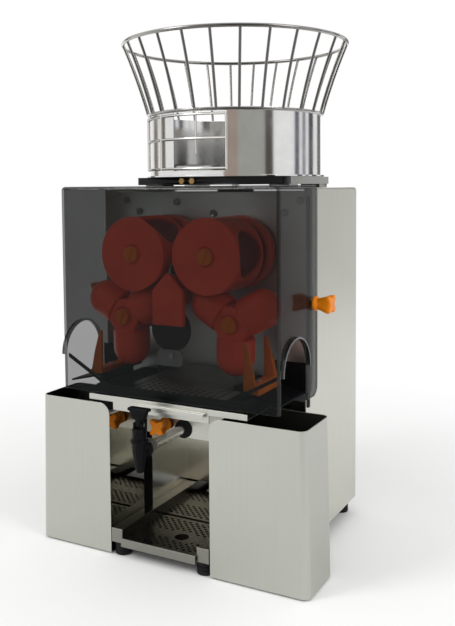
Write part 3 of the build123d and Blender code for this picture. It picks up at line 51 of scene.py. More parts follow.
class Wire:
    """A socket of a shader tree. Sums on it add Math nodes."""

    def __init__(self, finish, socket):
        self.finish = finish
        self.socket = socket

    def sum(self, operation, first, second):
        return self.finish.add("Math", {"operation": operation}, {0: first, 1: second})

    def __add__(self, other):
        return self.sum("ADD", self, other)

    def __radd__(self, other):
        return self.sum("ADD", other, self)

    def __sub__(self, other):
        return self.sum("SUBTRACT", self, other)

    def __rsub__(self, other):
        return self.sum("SUBTRACT", other, self)

    def __mul__(self, other):
        return self.sum("MULTIPLY", self, other)

    def __rmul__(self, other):
        return self.sum("MULTIPLY", other, self)


# Numbers of the Mix node's sockets for colours
MIX_FIRST, MIX_SECOND, MIX_RESULT = 6, 7, 2


class Finish:
    """One material. add() makes any node of its tree."""

    def __init__(self, name, colour, **constants):
        self.material = bpy.data.materials.new(name)
        self.material.use_nodes = True
        self.tree = self.material.node_tree
        self.shader = self.tree.nodes["Principled BSDF"]
        self.shader.inputs["Base Color"].default_value = (*colour, 1)
        for socket, value in constants.items():
            self.shader.inputs[socket.replace("_", " ")].default_value = value

    def add(self, kind, settings, sockets, output=0):
        node = self.tree.nodes.new("ShaderNode" + kind)
        for key, value in settings.items():
            setattr(node, key, value)
        for key, value in sockets.items():
            if isinstance(value, Wire):
                self.tree.links.new(value.socket, node.inputs[key])
            else:
                node.inputs[key].default_value = value
        return Wire(self, node.outputs[output])

    def place(self, stretch=(1, 1, 1)):
        """Object coordinates in metres, stretched along the axes."""
        spot = self.add("TexCoord", {}, {}, output="Object")
        return self.add("Mapping", {}, {"Vector": spot, "Scale": stretch})

    def axes(self):
        """The three object coordinates as values."""
        spot = self.add("TexCoord", {}, {}, output="Object")
        return [self.add("SeparateXYZ", {}, {"Vector": spot}, output=axis) for axis in "XYZ"]

    def slant(self):
        """0 where a face is seen square on, and 1 where it is seen edge on."""
        return self.add("LayerWeight", {}, {"Blend": 0.5}, output="Facing")

    def noise(self, scale, stretch=(1, 1, 1), detail=3.0, roughness=0.55):
        return self.add("TexNoise", {}, {"Vector": self.place(stretch), "Scale": scale, "Detail": detail,
                                         "Roughness": roughness})

    def ramp(self, value, low, high, start=0.0, end=1.0):
        """Value from low to high, spread over start to end and held beyond."""
        return self.add("MapRange", {"clamp": True}, {"Value": value, "From Min": low, "From Max": high,
                                                      "To Min": start, "To Max": end})

    def mix(self, share, first, second):
        first = (*first, 1) if isinstance(first, tuple) else first
        second = (*second, 1) if isinstance(second, tuple) else second
        return self.add("Mix", {"data_type": "RGBA"}, {0: share, MIX_FIRST: first, MIX_SECOND: second},
                        output=MIX_RESULT)

    def feed(self, socket, wire):
        self.tree.links.new(wire.socket, self.shader.inputs[socket])

    def bump(self, height, strength, distance):
        relief = self.add("Bump", {}, {"Height": height, "Strength": strength, "Distance": distance})
        self.feed("Normal", relief)


def shade(colour, factor):
    return tuple(min(1.0, channel * factor) for channel in colour)


# Finishes, with lengths in metres

def brushed_steel(name, colour, grain, roughness=0.36, spread=0.12):
    """Satin sheet. The grain runs along the axis whose stretch is small."""
    finish = Finish(name, colour, Metallic=1.0, Specular_IOR_Level=0.5)
    hair = finish.noise(1.0, grain, detail=4.0, roughness=0.7)
    lines = finish.noise(0.35, grain, detail=2.0)
    smear = finish.noise(9.0, detail=4.0, roughness=0.6)
    tone = finish.ramp(0.6 * hair + 0.4 * lines, 0.35, 0.65)
    base = finish.mix(tone, shade(colour, 0.97), shade(colour, 1.03))
    cloud = finish.ramp(smear, 0.35, 0.75, 0.0, 0.35)
    finish.feed("Base Color", finish.mix(cloud, base, shade(colour, 0.94)))
    finish.feed("Roughness", roughness + spread * (hair - 0.5) + 0.1 * (smear - 0.5))
    finish.bump(hair, 0.10, 0.0004)
    return finish


def polished_steel(name, colour, roughness, edge=None, smears=0.06):
    """Mirror sheet or wire with polishing marks and a few smears. Faces seen at a slant can turn to an edge
    colour: painted light along a wire's edges.
    """
    finish = Finish(name, colour, Metallic=1.0)
    marks = finish.noise(1.0, (40, 40, 40), detail=3.0)
    smear = finish.noise(14.0, detail=5.0, roughness=0.65)
    base = finish.mix(finish.ramp(marks, 0.3, 0.7), shade(colour, 0.95), shade(colour, 1.03))
    if edge:
        # Painted light: the colour turns to the edge colour where a face is seen at a slant
        base = finish.mix(finish.slant(), base, edge)
    finish.feed("Base Color", base)
    finish.feed("Roughness", roughness + smears * finish.ramp(smear, 0.45, 0.8) + 0.02 * marks)
    finish.bump(marks, 0.03, 0.0004)
    return finish


def moulded_plastic(name, colour, deep, roughness=0.32, shine=0.5):
    """Moulded plastic with a fine skin, cloudy colour and rubbed patches."""
    finish = Finish(name, colour, Specular_IOR_Level=shine)
    cloud = finish.noise(28.0, detail=4.0, roughness=0.6)
    speck = finish.noise(700.0, detail=2.0)
    skin = finish.noise(2600.0, detail=2.0)
    tone = finish.ramp(0.85 * cloud + 0.15 * speck, 0.36, 0.64)
    finish.tint = finish.mix(tone, deep, colour)
    finish.feed("Base Color", finish.tint)
    finish.feed("Roughness", roughness + 0.06 * finish.ramp(cloud, 0.4, 0.7) + 0.05 * (skin - 0.5))
    finish.bump(skin, 0.012, 0.0002)
    return finish


RED = (0.82, 0.08, 0.028)
RED_DEEP = (0.72, 0.06, 0.02)
# Painted shade in the drums' cups and grooves
RED_PAINTED_SHADE = (0.20, 0.010, 0.006)
DRUM_R = 57.0                       # upper drums
PAINTED_SHADE_FROM, PAINTED_SHADE_FULL = 2.5, 9.0   # below a drum's outer skin
FACE_UNSHADED, FACE_SHADED = 3.0, 6.0     # behind a drum's front face


def drum_plastic(name, node):
    """Red plastic with painted shade, a deep dark red, in the cups and grooves below the drum's outer skin.
    The front face has none.
    """
    low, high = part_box(node)
    finish = moulded_plastic(name, RED, RED_DEEP, shine=0.3)
    x, y, z = finish.axes()
    across = x - (low.x + high.x) / 2
    up = z - (low.z + high.z) / 2
    radius = finish.add("Math", {"operation": "SQRT"}, {0: across * across + up * up})
    below = finish.ramp(radius, (DRUM_R - PAINTED_SHADE_FULL) * MM, (DRUM_R - PAINTED_SHADE_FROM) * MM, 1.0, 0.0)
    behind = finish.ramp(y, low.y + FACE_UNSHADED * MM, low.y + FACE_SHADED * MM)
    finish.feed("Base Color", finish.mix(below * behind, finish.tint, RED_PAINTED_SHADE))
    return finish


def black_rubber(name):
    """Matt rubber with pores and a little dust."""
    finish = Finish(name, (0.010, 0.010, 0.011), Specular_IOR_Level=0.15)
    dust = finish.noise(60.0, detail=5.0, roughness=0.65)
    pore = finish.noise(1800.0, detail=2.0)
    dusty = finish.ramp(dust, 0.5, 0.85)
    finish.feed("Base Color", finish.mix(dusty, (0.008, 0.008, 0.009), (0.024, 0.023, 0.022)))
    finish.feed("Roughness", 0.62 + 0.2 * (pore - 0.5) + 0.1 * (dust - 0.5))
    finish.bump(pore, 0.2, 0.0004)
    return finish


def smoked_clear(name, colour, clear, gloss):
    """Tinted clear sheet: each face lets the stated share of light through, and less of it at a slant."""
    finish = Finish(name, colour, Specular_IOR_Level=gloss, IOR=1.49)
    haze = finish.noise(6.0, detail=4.0, roughness=0.6)
    finish.feed("Alpha", (1 - clear) + 0.13 * finish.slant() + 0.04 * (haze - 0.5))
    finish.feed("Roughness", 0.03 + 0.03 * finish.ramp(haze, 0.5, 0.8))
    return finish


def turned_metal(name, colour):
    """Turned metal with marks across its length and stains."""
    finish = Finish(name, colour, Metallic=1.0)
    marks = finish.noise(1.0, (60, 2500, 60), detail=2.0)
    stain = finish.noise(45.0, detail=4.0)
    finish.feed("Base Color", finish.mix(finish.ramp(stain, 0.4, 0.7), shade(colour, 0.8), colour))
    finish.feed("Roughness", 0.3 + 0.15 * (marks - 0.5) + 0.1 * (stain - 0.5))
    finish.bump(marks, 0.08, 0.0004)
    return finish


# Stretches of the brushed grain
UPRIGHT = (900, 900, 9)
ACROSS = (9, 900, 900)
ALONG = (900, 9, 900)

body_steel = brushed_steel("body_stainless", (0.62, 0.62, 0.56), UPRIGHT)
bin_steel = brushed_steel("bin_stainless", (0.50, 0.51, 0.465), UPRIGHT)
# Painted shade: the bins' insides are nearly black
bin_painted_shade = brushed_steel("bin_inside_painted_shade", (0.05, 0.05, 0.046), UPRIGHT, roughness=0.55)
flat_steel = brushed_steel("shelf_stainless", (0.52, 0.52, 0.48), ACROSS, roughness=0.3)
plate_steel = brushed_steel("plate_stainless", (0.36, 0.36, 0.34), ALONG, roughness=0.3)
wall_steel = brushed_steel("wall_stainless", (0.74, 0.78, 0.74), ACROSS, roughness=0.42)
liner_steel = brushed_steel("liner_stainless", (0.74, 0.74, 0.68), UPRIGHT, roughness=0.22, spread=0.06)
# Painted shade: the drip pan's dish is nearly black
pan_painted_shade = brushed_steel("pan_dish_painted_shade", (0.05, 0.048, 0.043), ALONG, roughness=0.5)
# Painted shade: a darker brushed steel for the pan's lip and the rails' front ends
lip_painted_shade = brushed_steel("lip_painted_shade_stainless", (0.25, 0.245, 0.22), ACROSS, roughness=0.32)
bracket_steel = brushed_steel("bracket_stainless", (0.27, 0.28, 0.265), ACROSS, roughness=0.4)
frame_steel = brushed_steel("frame_steel", (0.03, 0.03, 0.03), UPRIGHT, roughness=0.5)
rail_steel = brushed_steel("rail_stainless", (0.66, 0.65, 0.60), ALONG, roughness=0.2)
# Painted shade: the rails' sides that face each other are dark
rail_side_painted_shade = brushed_steel("rail_inner_painted_shade", (0.14, 0.135, 0.12), ALONG, roughness=0.25)

mirror_steel = polished_steel("mirror_stainless", (0.47, 0.455, 0.40), 0.01, smears=0.02)
chrome = polished_steel("chrome", (0.70, 0.70, 0.69), 0.06)
# Painted reflection: the wires are nearly black seen square on, with a pale painted sheen along their edges
wire_painted_reflection = polished_steel("wire_painted_reflection", (0.07, 0.068, 0.065), 0.16, edge=(0.75, 0.73, 0.70))
# Painted shade: the gate is bright with dark edges where it is seen at a slant
gate_painted_edge_shade = polished_steel("gate_painted_edge_shade", (0.82, 0.80, 0.76), 0.12, edge=(0.12, 0.11, 0.10))
pipe_chrome = polished_steel("pipe_chrome", (0.97, 0.97, 0.96), 0.22)
band_chrome = polished_steel("band_chrome", (0.70, 0.70, 0.69), 0.12)
drip_steel = polished_steel("drip_stainless", (0.34, 0.33, 0.30), 0.2)

red_plastic = moulded_plastic("red_plastic", RED, RED_DEEP, shine=0.3)
cup_plastic = {where: drum_plastic(where + "_plastic", where + "_drum")
               for where in ("upper_left", "upper_right")}
tan_plastic = moulded_plastic("tan_plastic", (0.76, 0.17, 0.004), (0.60, 0.13, 0.003), 0.35, shine=0.2)
orange_plastic = moulded_plastic("orange_plastic", (0.80, 0.24, 0.006), (0.70, 0.19, 0.004), 0.3, shine=0.18)
stripper_plastic = moulded_plastic("stripper_plastic", (0.66, 0.16, 0.008), (0.54, 0.12, 0.006), 0.34,
                                   shine=0.2)
SOOT, SOOT_DEEP = (0.006, 0.006, 0.007), (0.004, 0.004, 0.005)
black_plastic = moulded_plastic("black_plastic", (0.008, 0.008, 0.009), (0.005, 0.005, 0.006), 0.3, shine=0.3)
tap_plastic = moulded_plastic("tap_plastic", SOOT, SOOT_DEEP, 0.36, shine=0.06)
slide_plastic = moulded_plastic("slide_plastic", SOOT, SOOT_DEEP, 0.5, shine=0.02)
dark_plastic = moulded_plastic("guard_plastic", (0.022, 0.015, 0.021), (0.014, 0.010, 0.014), 0.34, shine=0.3)
motor_paint = moulded_plastic("motor_paint", (0.05, 0.055, 0.06), (0.035, 0.038, 0.04), 0.45)
rubber = black_rubber("rubber")

SMOKE, SMOKE_DEEP = (0.006, 0.007, 0.007), (0.004, 0.005, 0.005)
smoke = smoked_clear("smoked_clear", SMOKE, 0.58, gloss=0.1)
# Painted shade: the side walls and the bends of the same sheet let less light through than the front
smoke_side_painted_shade = smoked_clear("smoked_side_painted_shade", SMOKE, 0.49, gloss=0.1)
smoke_bend_painted_shade = smoked_clear("smoked_bend_painted_shade", SMOKE_DEEP, 0.26, gloss=0.35)
smoke_top = smoked_clear("smoked_top", SMOKE_DEEP, 0.34, gloss=0.0)
smoke_rim = smoked_clear("smoked_rim", (0.06, 0.07, 0.07), 0.25, gloss=1.0)

steel = turned_metal("turned_steel", (0.50, 0.50, 0.50))
bronze = turned_metal("bronze", (0.52, 0.33, 0.14))

# CAD nodes that stay as they are
NODE_FINISHES = {
    wall_steel: ("press_wall", "bearing_plate"),
    frame_steel: ("frame_plates",),
    chrome: ("hopper_base", "feed_wheel"),
    wire_painted_reflection: ("wire_basket",),
    gate_painted_edge_shade: ("wire_gate",),
    pipe_chrome: ("tap_pipe",),
    steel: ("knife_blade", "cover_studs", "gearbox", "drive_pinion",
            "upper_left_shaft", "upper_right_shaft", "lower_left_shaft", "lower_right_shaft"),
    bronze: ("bushes", "hopper_bolts"),
    black_plastic: ("rocker",),
    rubber: ("seal_rings", "edge_seals"),
    motor_paint: ("motor", "feed_motor"),
}
for finish, names in NODE_FINISHES.items():
    for name in names:
        mesh = nodes[name].data
        mesh.materials.clear()
        mesh.materials.append(finish.material)


# Making pieces

ORIGIN_Y = 171.0       # the drawing's y at the part's own origin
DOUBLES = 0.002        # corners nearer than this are one
FLAT_ANGLE = 0.5       # degrees, faces that turn less are one
EASED_CREASE = 30.0    # degrees, edges that turn more stay sharp beside eased ones
LOW, HIGH = 0, 1       # ends of a box


def spot(x, y, z):
    """A place of the drawing as a point of the scene."""
    return Vector((x, y - ORIGIN_Y, z)) * MM


def seat_of(node, axis, end):
    """The middle of the face of a node's box at its low or high end along an axis."""
    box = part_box(node)
    seat = (box[LOW] + box[HIGH]) / 2
    setattr(seat, axis, getattr(box[end], axis))
    return seat


def piece(shape, name, body, finishes, replaced=(), crease=35.0):
    """Makes an object of a bmesh, shades it, and lets it ride on a body in place of CAD nodes."""
    mesh = bpy.data.meshes.new(name)
    shape.to_mesh(mesh)
    shape.free()
    for finish in finishes:
        mesh.materials.append(finish.material)
    mesh.shade_smooth()
    mesh.set_sharp_from_angle(angle=math.radians(crease))
    made = bpy.data.objects.new(name, mesh)
    bpy.context.scene.collection.objects.link(made)
    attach(made, body)
    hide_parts(*replaced)
    return made


def flatten(made):
    """Keeps wide faces flat in the shading, up to their eased edges."""
    even = made.modifiers.new("flat_faces", "WEIGHTED_NORMAL")
    even.weight = 50
    even.keep_sharp = True


def close_up(shape):
    """Merges doubles and turns the faces outwards."""
    bmesh.ops.remove_doubles(shape, verts=shape.verts, dist=DOUBLES * MM)
    bmesh.ops.recalc_face_normals(shape, faces=shape.faces)


def merged_copy(node):
    """A copy of a CAD node's mesh, with its triangles joined to flat faces."""
    shape = bmesh.new()
    shape.from_mesh(nodes[node].data)
    bmesh.ops.remove_doubles(shape, verts=shape.verts, dist=DOUBLES * MM)
    bmesh.ops.dissolve_limit(shape, angle_limit=math.radians(FLAT_ANGLE), verts=shape.verts,
                             edges=shape.edges)
    return shape


def round_edges(shape, edges, width, segments):
    """Rounds edges, and gives the corners of the rounding."""
    return bmesh.ops.bevel(shape, geom=edges, offset=width * MM, offset_type="OFFSET", affect="EDGES",
                           segments=segments, profile=0.5, material=-1)["verts"]


def soften(shape, width, corner=40.0, segments=2):
    """Rounds every edge that turns more than the corner angle."""
    sharp = [edge for edge in shape.edges if len(edge.link_faces) == 2
             and edge.calc_face_angle() > math.radians(corner)]
    round_edges(shape, sharp, width, segments)


def rounded_block(shape, size, width, segments):
    """Adds a block with rounded edges at the origin, and gives its corners."""
    block = bmesh.ops.create_cube(shape, size=1.0)["verts"]
    bmesh.ops.scale(shape, vec=Vector(size) * MM, verts=block)
    edges = dict.fromkeys(edge for corner in block for edge in corner.link_edges)
    return round_edges(shape, list(edges), width, segments)


def lathe(shape, profile, centre, axis, steps=40):
    """Turns (radius, height) points about an axis through the centre."""
    axis = Vector(axis).normalized()
    side = axis.orthogonal().normalized()
    points = [shape.verts.new(centre + (side * radius + axis * height) * MM) for radius, height in profile]
    lines = [shape.edges.new(pair) for pair in zip(points, points[1:])]
    bmesh.ops.spin(shape, geom=points + lines, cent=centre, axis=axis, angle=2 * math.pi, steps=steps,
                   use_merge=True)


# Sheet metal

EASE = 0.4             # rounding of sheet and plastic edges
FACING = 0.9           # a face's normal has at least this much of the axis that it faces along
WALL_FACING = 0.95     # the same for a bin's wall, without its eased edges
NICHE_REACH = 97.5     # the bins' inner walls lie within this of the middle
LIP_T = 1.7            # the pan's lip with a little over
FLANGE_T = 1.0         # the liner's front flange
RIM_ABOVE = 20.0       # clear of the strainer's perforated top
RIM_FACING = 0.5       # a face of the strainer's rim looks up by at least this much
BLACK_TO = 150.0       # the hopper bracket is black in front of this


def eased(node, body, finish, paint=None, others=()):
    """A CAD node with its edges eased. Paint gives faces the number of another finish."""
    shape = merged_copy(node)
    soften(shape, EASE)
    if paint:
        for face in shape.faces:
            face.material_index = paint(face.calc_center_median(), face.normal)
    made = piece(shape, node + "_eased", body, (finish, *others), (node,), crease=EASED_CREASE)
    flatten(made)


def bin_paint(node):
    """Finish numbers of a bin: polished beside the niche, painted shade inside, brushed elsewhere."""
    low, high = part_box(node)
    centre = (low + high) / 2

    def number(middle, facing):
        # Faces that look into the bin take the painted shade
        if facing.dot(centre - middle) > 0:
            return 2
        return 1 if abs(facing.x) > WALL_FACING and abs(middle.x) < NICHE_REACH * MM else 0
    return number


def pan_paint(middle, facing):
    """The drip pan's lip is darker brushed steel and its dish nearly black, both painted shade."""
    return 1 if middle.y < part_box("drip_pan")[LOW].y + LIP_T * MM else 0


def rail_paint(middle, facing):
    """The rails' sides that face each other are dark, and their front ends are darker than their tops:
    painted shade.
    """
    if facing.y < -FACING:
        return 2
    return 1 if abs(facing.x) > FACING and facing.x * middle.x < 0 else 0


def liner_paint(middle, facing):
    """The liner's front flange is black."""
    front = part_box("tunnel_liner")[LOW].y
    return 1 if facing.y < -FACING and middle.y < front + FLANGE_T * MM else 0


def strainer_rim():
    """The strainer, with a painted highlight along the top of its rear wall."""
    shape = merged_copy("strainer")
    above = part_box("strainer")[LOW].z + RIM_ABOVE * MM
    for face in shape.faces:
        # The top of the rear wall takes the bright gate finish as a painted highlight
        on_rim = face.calc_center_median().z > above and face.normal.z > RIM_FACING
        face.material_index = 1 if on_rim else 0
    piece(shape, "strainer_rimmed", "base", (drip_steel, gate_painted_edge_shade), ("strainer",))


def bracket_plate():
    """The hopper's bracket: a black bar in front, plain steel behind."""
    shape = merged_copy("hopper_bracket")
    cut = spot(0, BLACK_TO, 0)
    everything = shape.verts[:] + shape.edges[:] + shape.faces[:]
    bmesh.ops.bisect_plane(shape, geom=everything, plane_co=cut, plane_no=(0, 1, 0))
    for face in shape.faces:
        face.material_index = 1 if face.calc_center_median().y > cut.y else 0
    piece(shape, "hopper_bracket_plate", "base", (black_plastic, plate_steel),
          ("hopper_bracket",))


# Screws

HEAD_ROUND = 0.9
HEAD_FACING = 0.98     # a head's flat top looks to the front by at least this much
HEAD_AREA = 45.0       # square millimetres, less than a head's flat top
HEAD_RIM = 2.2         # between a head's rounding and its socket
SOCKET_TAPER = 0.1
SOCKET_DEEP = 1.5


def screw_heads():
    """The screws with domed heads and round sockets."""
    shape = merged_copy("screws")
    soften(shape, HEAD_ROUND, segments=3)
    tops = [face for face in shape.faces
            if face.normal.y < -HEAD_FACING and face.calc_area() > HEAD_AREA * MM * MM]
    bmesh.ops.inset_individual(shape, faces=tops, thickness=HEAD_RIM * MM)
    bmesh.ops.inset_individual(shape, faces=tops, thickness=SOCKET_TAPER * MM, depth=-SOCKET_DEEP * MM)
    piece(shape, "screws_domed", "base", (steel,), ("screws",), crease=EASED_CREASE)


# Drip plates

HOLE_PITCH = 5.8       # about, of the cells; every second one has a hole
HOLE_RIM = 0.354       # between a hole and the edge of its cell
HOLE_CORNER = 1.4      # cut off each corner of a hole
BLANK_RIM = 5.0        # no hole's middle is nearer to a plate's edge
BLANK_BAND = 11.0      # nor nearer to the line across the plate through the finger hole
FINGER_X = 15.0        # finger hole, right of the plate's middle
FINGER_Y = 46.0        # finger hole, behind the plate's front edge
FINGER_R = 11.0
FINGER_STEPS = 48
FINGER_CLEAR = 17.0    # half of a square round the finger hole without the middle of a hole
PLATE_SEAM = 7.0       # gap between the plates


def ring(shape, points):
    """Joins flat points to a closed ring of edges."""
    corners = [shape.verts.new((x, y, 0)) for x, y in points]
    return [shape.edges.new(pair) for pair in zip(corners, corners[1:] + corners[:1])]


def drip_hole(x, y, half_x, half_y):
    """The corners of a hole: a rectangle whose corners are cut off."""
    near_x, near_y = half_x - HOLE_CORNER * MM, half_y - HOLE_CORNER * MM
    corners = ((near_x, -half_y), (half_x, -near_y), (half_x, near_y), (near_x, half_y),
               (-near_x, half_y), (-half_x, near_y), (-half_x, -near_y), (-near_x, -half_y))
    return [(x + across, y + along) for across, along in corners]


def drip_plate(shape, left, right, front, rear, finger):
    """One flat plate with two bands of holes, and a finger hole if it has one."""
    columns = round((right - left) / (HOLE_PITCH * MM))
    rows = round((rear - front) / (HOLE_PITCH * MM))
    wide, deep = (right - left) / columns, (rear - front) / rows
    finger_x = (left + right) / 2 + FINGER_X * MM
    finger_y = front + FINGER_Y * MM
    band = finger_y if finger else (front + rear) / 2
    edges = ring(shape, ((left, front), (right, front), (right, rear), (left, rear)))
    for column in range(columns):
        for row in range(1 - column % 2, rows, 2):
            x, y = left + (column + 0.5) * wide, front + (row + 0.5) * deep
            at_rim = min(x - left, right - x, y - front, rear - y) <= BLANK_RIM * MM
            in_band = abs(y - band) <= BLANK_BAND * MM
            at_finger = finger and max(abs(x - finger_x), abs(y - finger_y)) < FINGER_CLEAR * MM
            if not (at_rim or in_band or at_finger):
                edges += ring(shape, drip_hole(x, y, wide / 2 - HOLE_RIM * MM, deep / 2 - HOLE_RIM * MM))
    if finger:
        turns = [2 * math.pi * step / FINGER_STEPS for step in range(FINGER_STEPS)]
        radius = FINGER_R * MM
        edges += ring(shape, [(finger_x + radius * math.cos(turn), finger_y + radius * math.sin(turn))
                              for turn in turns])
    bmesh.ops.triangle_fill(shape, edges=edges, use_beauty=True, normal=(0, 0, 1))


def drip_plates():
    """Both perforated plates, with their thickness."""
    low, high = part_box("drip_plates")
    seam = (low.y + high.y) / 2
    shape = bmesh.new()
    drip_plate(shape, low.x, high.x, low.y, seam - PLATE_SEAM * MM, True)
    drip_plate(shape, low.x, high.x, seam, high.y, False)
    bmesh.ops.solidify(shape, geom=shape.faces[:], thickness=high.z - low.z)
    top = max(corner.co.z for corner in shape.verts)
    bmesh.ops.translate(shape, vec=(0, 0, high.z - top), verts=shape.verts)
    close_up(shape)
    piece(shape, "drip_plates_perforated", "drip_tray", (drip_steel,), ("drip_plates",))


# Feet

FOOT_TREAD = ((1.4, 0.0), (0.4, 0.6), (0.0, 1.8))               # how far in, how far up
FOOT_GROOVES = (0.36, 0.66)                                     # heights as shares of the foot's
GROOVE = ((0.0, -1.4), (0.9, -0.7), (0.9, 0.7), (0.0, 1.4))     # how far in, up from the groove's middle
FOOT_EDGE = 0.8


def ribbed_feet():
    """Rubber feet with grooves round them."""
    low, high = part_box("feet")
    middle = (low + high) / 2
    places = [nodes["feet"].matrix_world @ vert.co for vert in nodes["feet"].data.vertices]
    shape = bmesh.new()
    for side in (-1, 1):
        for end in (-1, 1):
            own = [place for place in places
                   if (place.x - middle.x) * side > 0 and (place.y - middle.y) * end > 0]
            left, right = (pick(place.x for place in own) for pick in (min, max))
            front, rear = (pick(place.y for place in own) for pick in (min, max))
            height = max(place.z for place in own) / MM
            wide = (right - left) / 2 / MM
            profile = [(0.0, 0.0)] + [(wide - inward, up) for inward, up in FOOT_TREAD]
            for share in FOOT_GROOVES:
                profile += [(wide - inward, share * height + up) for inward, up in GROOVE]
            profile += [(wide, height - FOOT_EDGE), (wide - FOOT_EDGE, height), (0.0, height)]
            lathe(shape, profile, Vector(((left + right) / 2, (front + rear) / 2, 0)), (0, 0, 1))
    close_up(shape)
    piece(shape, "feet_ribbed", "base", (rubber,), ("feet",))


# Smoked cover

COVER_X = 188.0        # the side walls' outer faces; the arches' hoods stand out from them
COVER_ROUND = 0.8
WALL_REACH = 3.57      # the cover's wall with a little over
EDGE_REACH = 1.0       # the hoods' and the lower edge's roundings
EDGE_FACING = 0.3      # a cut edge's normal has less than this of its wall's axis
FLAT_FACING = 0.97     # a flat wall's normal has at least this much of its axis
COVER_FRONT, COVER_SIDE, COVER_BEND, COVER_RIM, COVER_TOP = range(5)


def cover_sheet():
    """The cover with eased edges. Its bends, cut edges, side walls and top have finishes of their own; the
    darker side walls and bends are painted shade.
    """
    shape = merged_copy("front_cover")
    soften(shape, COVER_ROUND)
    low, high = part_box("front_cover")
    wall, edge = WALL_REACH * MM, EDGE_REACH * MM
    for face in shape.faces:
        middle, facing = face.calc_center_median(), face.normal
        out = abs(middle.x) - COVER_X * MM
        side_rim = -wall < out < 0 and abs(facing.x) < EDGE_FACING
        hood_rim = abs(middle.x) > high.x - edge
        front_rim = middle.y < low.y + wall and abs(facing.y) < EDGE_FACING
        top_rim = middle.z > high.z - wall and abs(facing.z) < EDGE_FACING
        bend = out > 0 or max(abs(facing.x), abs(facing.y), abs(facing.z)) < FLAT_FACING
        if middle.z < low.z + edge:
            face.material_index = COVER_BEND
        elif side_rim or hood_rim or front_rim or top_rim:
            face.material_index = COVER_RIM
        elif bend:
            face.material_index = COVER_BEND
        elif abs(facing.z) > FACING:
            face.material_index = COVER_TOP
        else:
            face.material_index = COVER_SIDE if abs(facing.x) > FACING else COVER_FRONT
    made = piece(shape, "cover_sheet", "cover",
                 (smoke, smoke_side_painted_shade, smoke_bend_painted_shade, smoke_rim, smoke_top), ("front_cover",), crease=EASED_CREASE)
    flatten(made)


# Press drums and their knobs

KNOB_PROFILE = ((4.9, 0.0), (11.6, 0.0), (12.3, 0.6), (12.5, 1.4), (12.5, 6.8), (12.2, 8.0), (11.4, 8.8),
                (10.4, 9.0), (9.6, 8.6), (8.8, 8.3), (0.0, 8.3))
BAR_SIZE = (4.4, 6.0, 20.0)
BAR_ROUND = 1.3
BAR_OUT = 7.9          # the bar's middle, in front of the knob's seat
BAR_LEAN = 18.0        # degrees, the bars off upright


def moulding(node, body, slot, finish, grain, passes):
    """A copy of a CAD node with even faces and edges as round as a mould leaves them."""
    made = piece(merged_copy(node), node + "_moulding", body, (finish,), (node,))
    even = made.modifiers.new("even", "REMESH")
    even.mode = "VOXEL"
    even.voxel_size = grain * MM
    soft = made.modifiers.new("soft", "SMOOTH")
    soft.factor = 0.5
    soft.iterations = passes
    mesh = bpy.data.meshes.new_from_object(made.evaluated_get(bpy.context.evaluated_depsgraph_get()))
    made.modifiers.clear()
    made.data = mesh
    mesh.materials.clear()
    mesh.materials.append(finish.material)
    mesh.shade_smooth()


def drum_knob(where):
    """Flat knob with a turned rim, a dished face and a finger bar."""
    node = where + "_knob"
    seat = seat_of(node, "y", HIGH)
    shape = bmesh.new()
    lathe(shape, KNOB_PROFILE, seat, (0, -1, 0))
    close_up(shape)
    bar = rounded_block(shape, BAR_SIZE, BAR_ROUND, 3)
    lean = Matrix.Rotation(math.radians(BAR_LEAN), 3, "Y")
    bmesh.ops.rotate(shape, verts=bar, cent=(0, 0, 0), matrix=lean)
    bmesh.ops.translate(shape, verts=bar, vec=seat + Vector((0, -BAR_OUT, 0)) * MM)
    piece(shape, node + "_turned", where + "_nut", (tan_plastic,), (node,))


# Lobed knobs

LOBES = 4
LOBE_POWER = 1.5       # narrows the lobes
LOBED_STEPS = 64
# Height above the seat, radius at a lobe and radius between lobes
LOBED_RINGS = ((0.0, 9.6, 9.6), (0.8, 10.7, 10.7), (1.8, 11.0, 11.0), (4.6, 11.0, 11.0), (5.6, 10.5, 10.3),
               (6.6, 10.0, 8.8), (9.0, 10.4, 8.2), (13.0, 11.8, 8.1), (18.0, 14.2, 8.6), (22.0, 16.2, 9.2),
               (25.0, 17.0, 9.5), (27.6, 17.0, 9.5), (29.0, 16.4, 9.1), (29.8, 15.2, 8.3), (30.0, 13.6, 7.2),
               (29.7, 8.0, 4.6), (29.6, 3.0, 2.4))


def lobed_radius(lobe, waist, angle):
    return waist + (lobe - waist) * (0.5 - 0.5 * math.cos(LOBES * angle)) ** LOBE_POWER


def lobed_knob(node, body, seat, outward):
    """A lobed knob that flares away from its seat."""
    shape = bmesh.new()
    loop = bmesh.ops.create_circle(shape, segments=LOBED_STEPS, radius=1.0)["verts"]
    bearings = {vert: math.atan2(vert.co.y, vert.co.x) for vert in loop}
    for step, (height, lobe, waist) in enumerate(LOBED_RINGS):
        if step:
            edges = [edge for edge in shape.edges if edge.verts[0] in bearings and edge.verts[1] in bearings]
            grown = bmesh.ops.extrude_edge_only(shape, edges=edges)["geom"]
            loop = [item for item in grown if isinstance(item, bmesh.types.BMVert)]
            bearings = {vert: math.atan2(vert.co.y, vert.co.x) for vert in loop}
        for vert, angle in bearings.items():
            radius = lobed_radius(lobe, waist, angle)
            vert.co = Vector((radius * math.cos(angle), radius * math.sin(angle), height)) * MM
    last = [edge for edge in shape.edges if edge.is_boundary and edge.verts[0] in bearings]
    bmesh.ops.contextual_create(shape, geom=last)
    close_up(shape)
    turn = Vector(outward).to_track_quat("Z", "Y").to_matrix()
    bmesh.ops.transform(shape, matrix=Matrix.Translation(seat) @ turn.to_4x4(), verts=shape.verts)
    piece(shape, node + "_lobed", body, (orange_plastic,), (node,), crease=50.0)


# Tap

TAP_X, TAP_Y, TAP_Z = -20.0, -30.0, 182.0
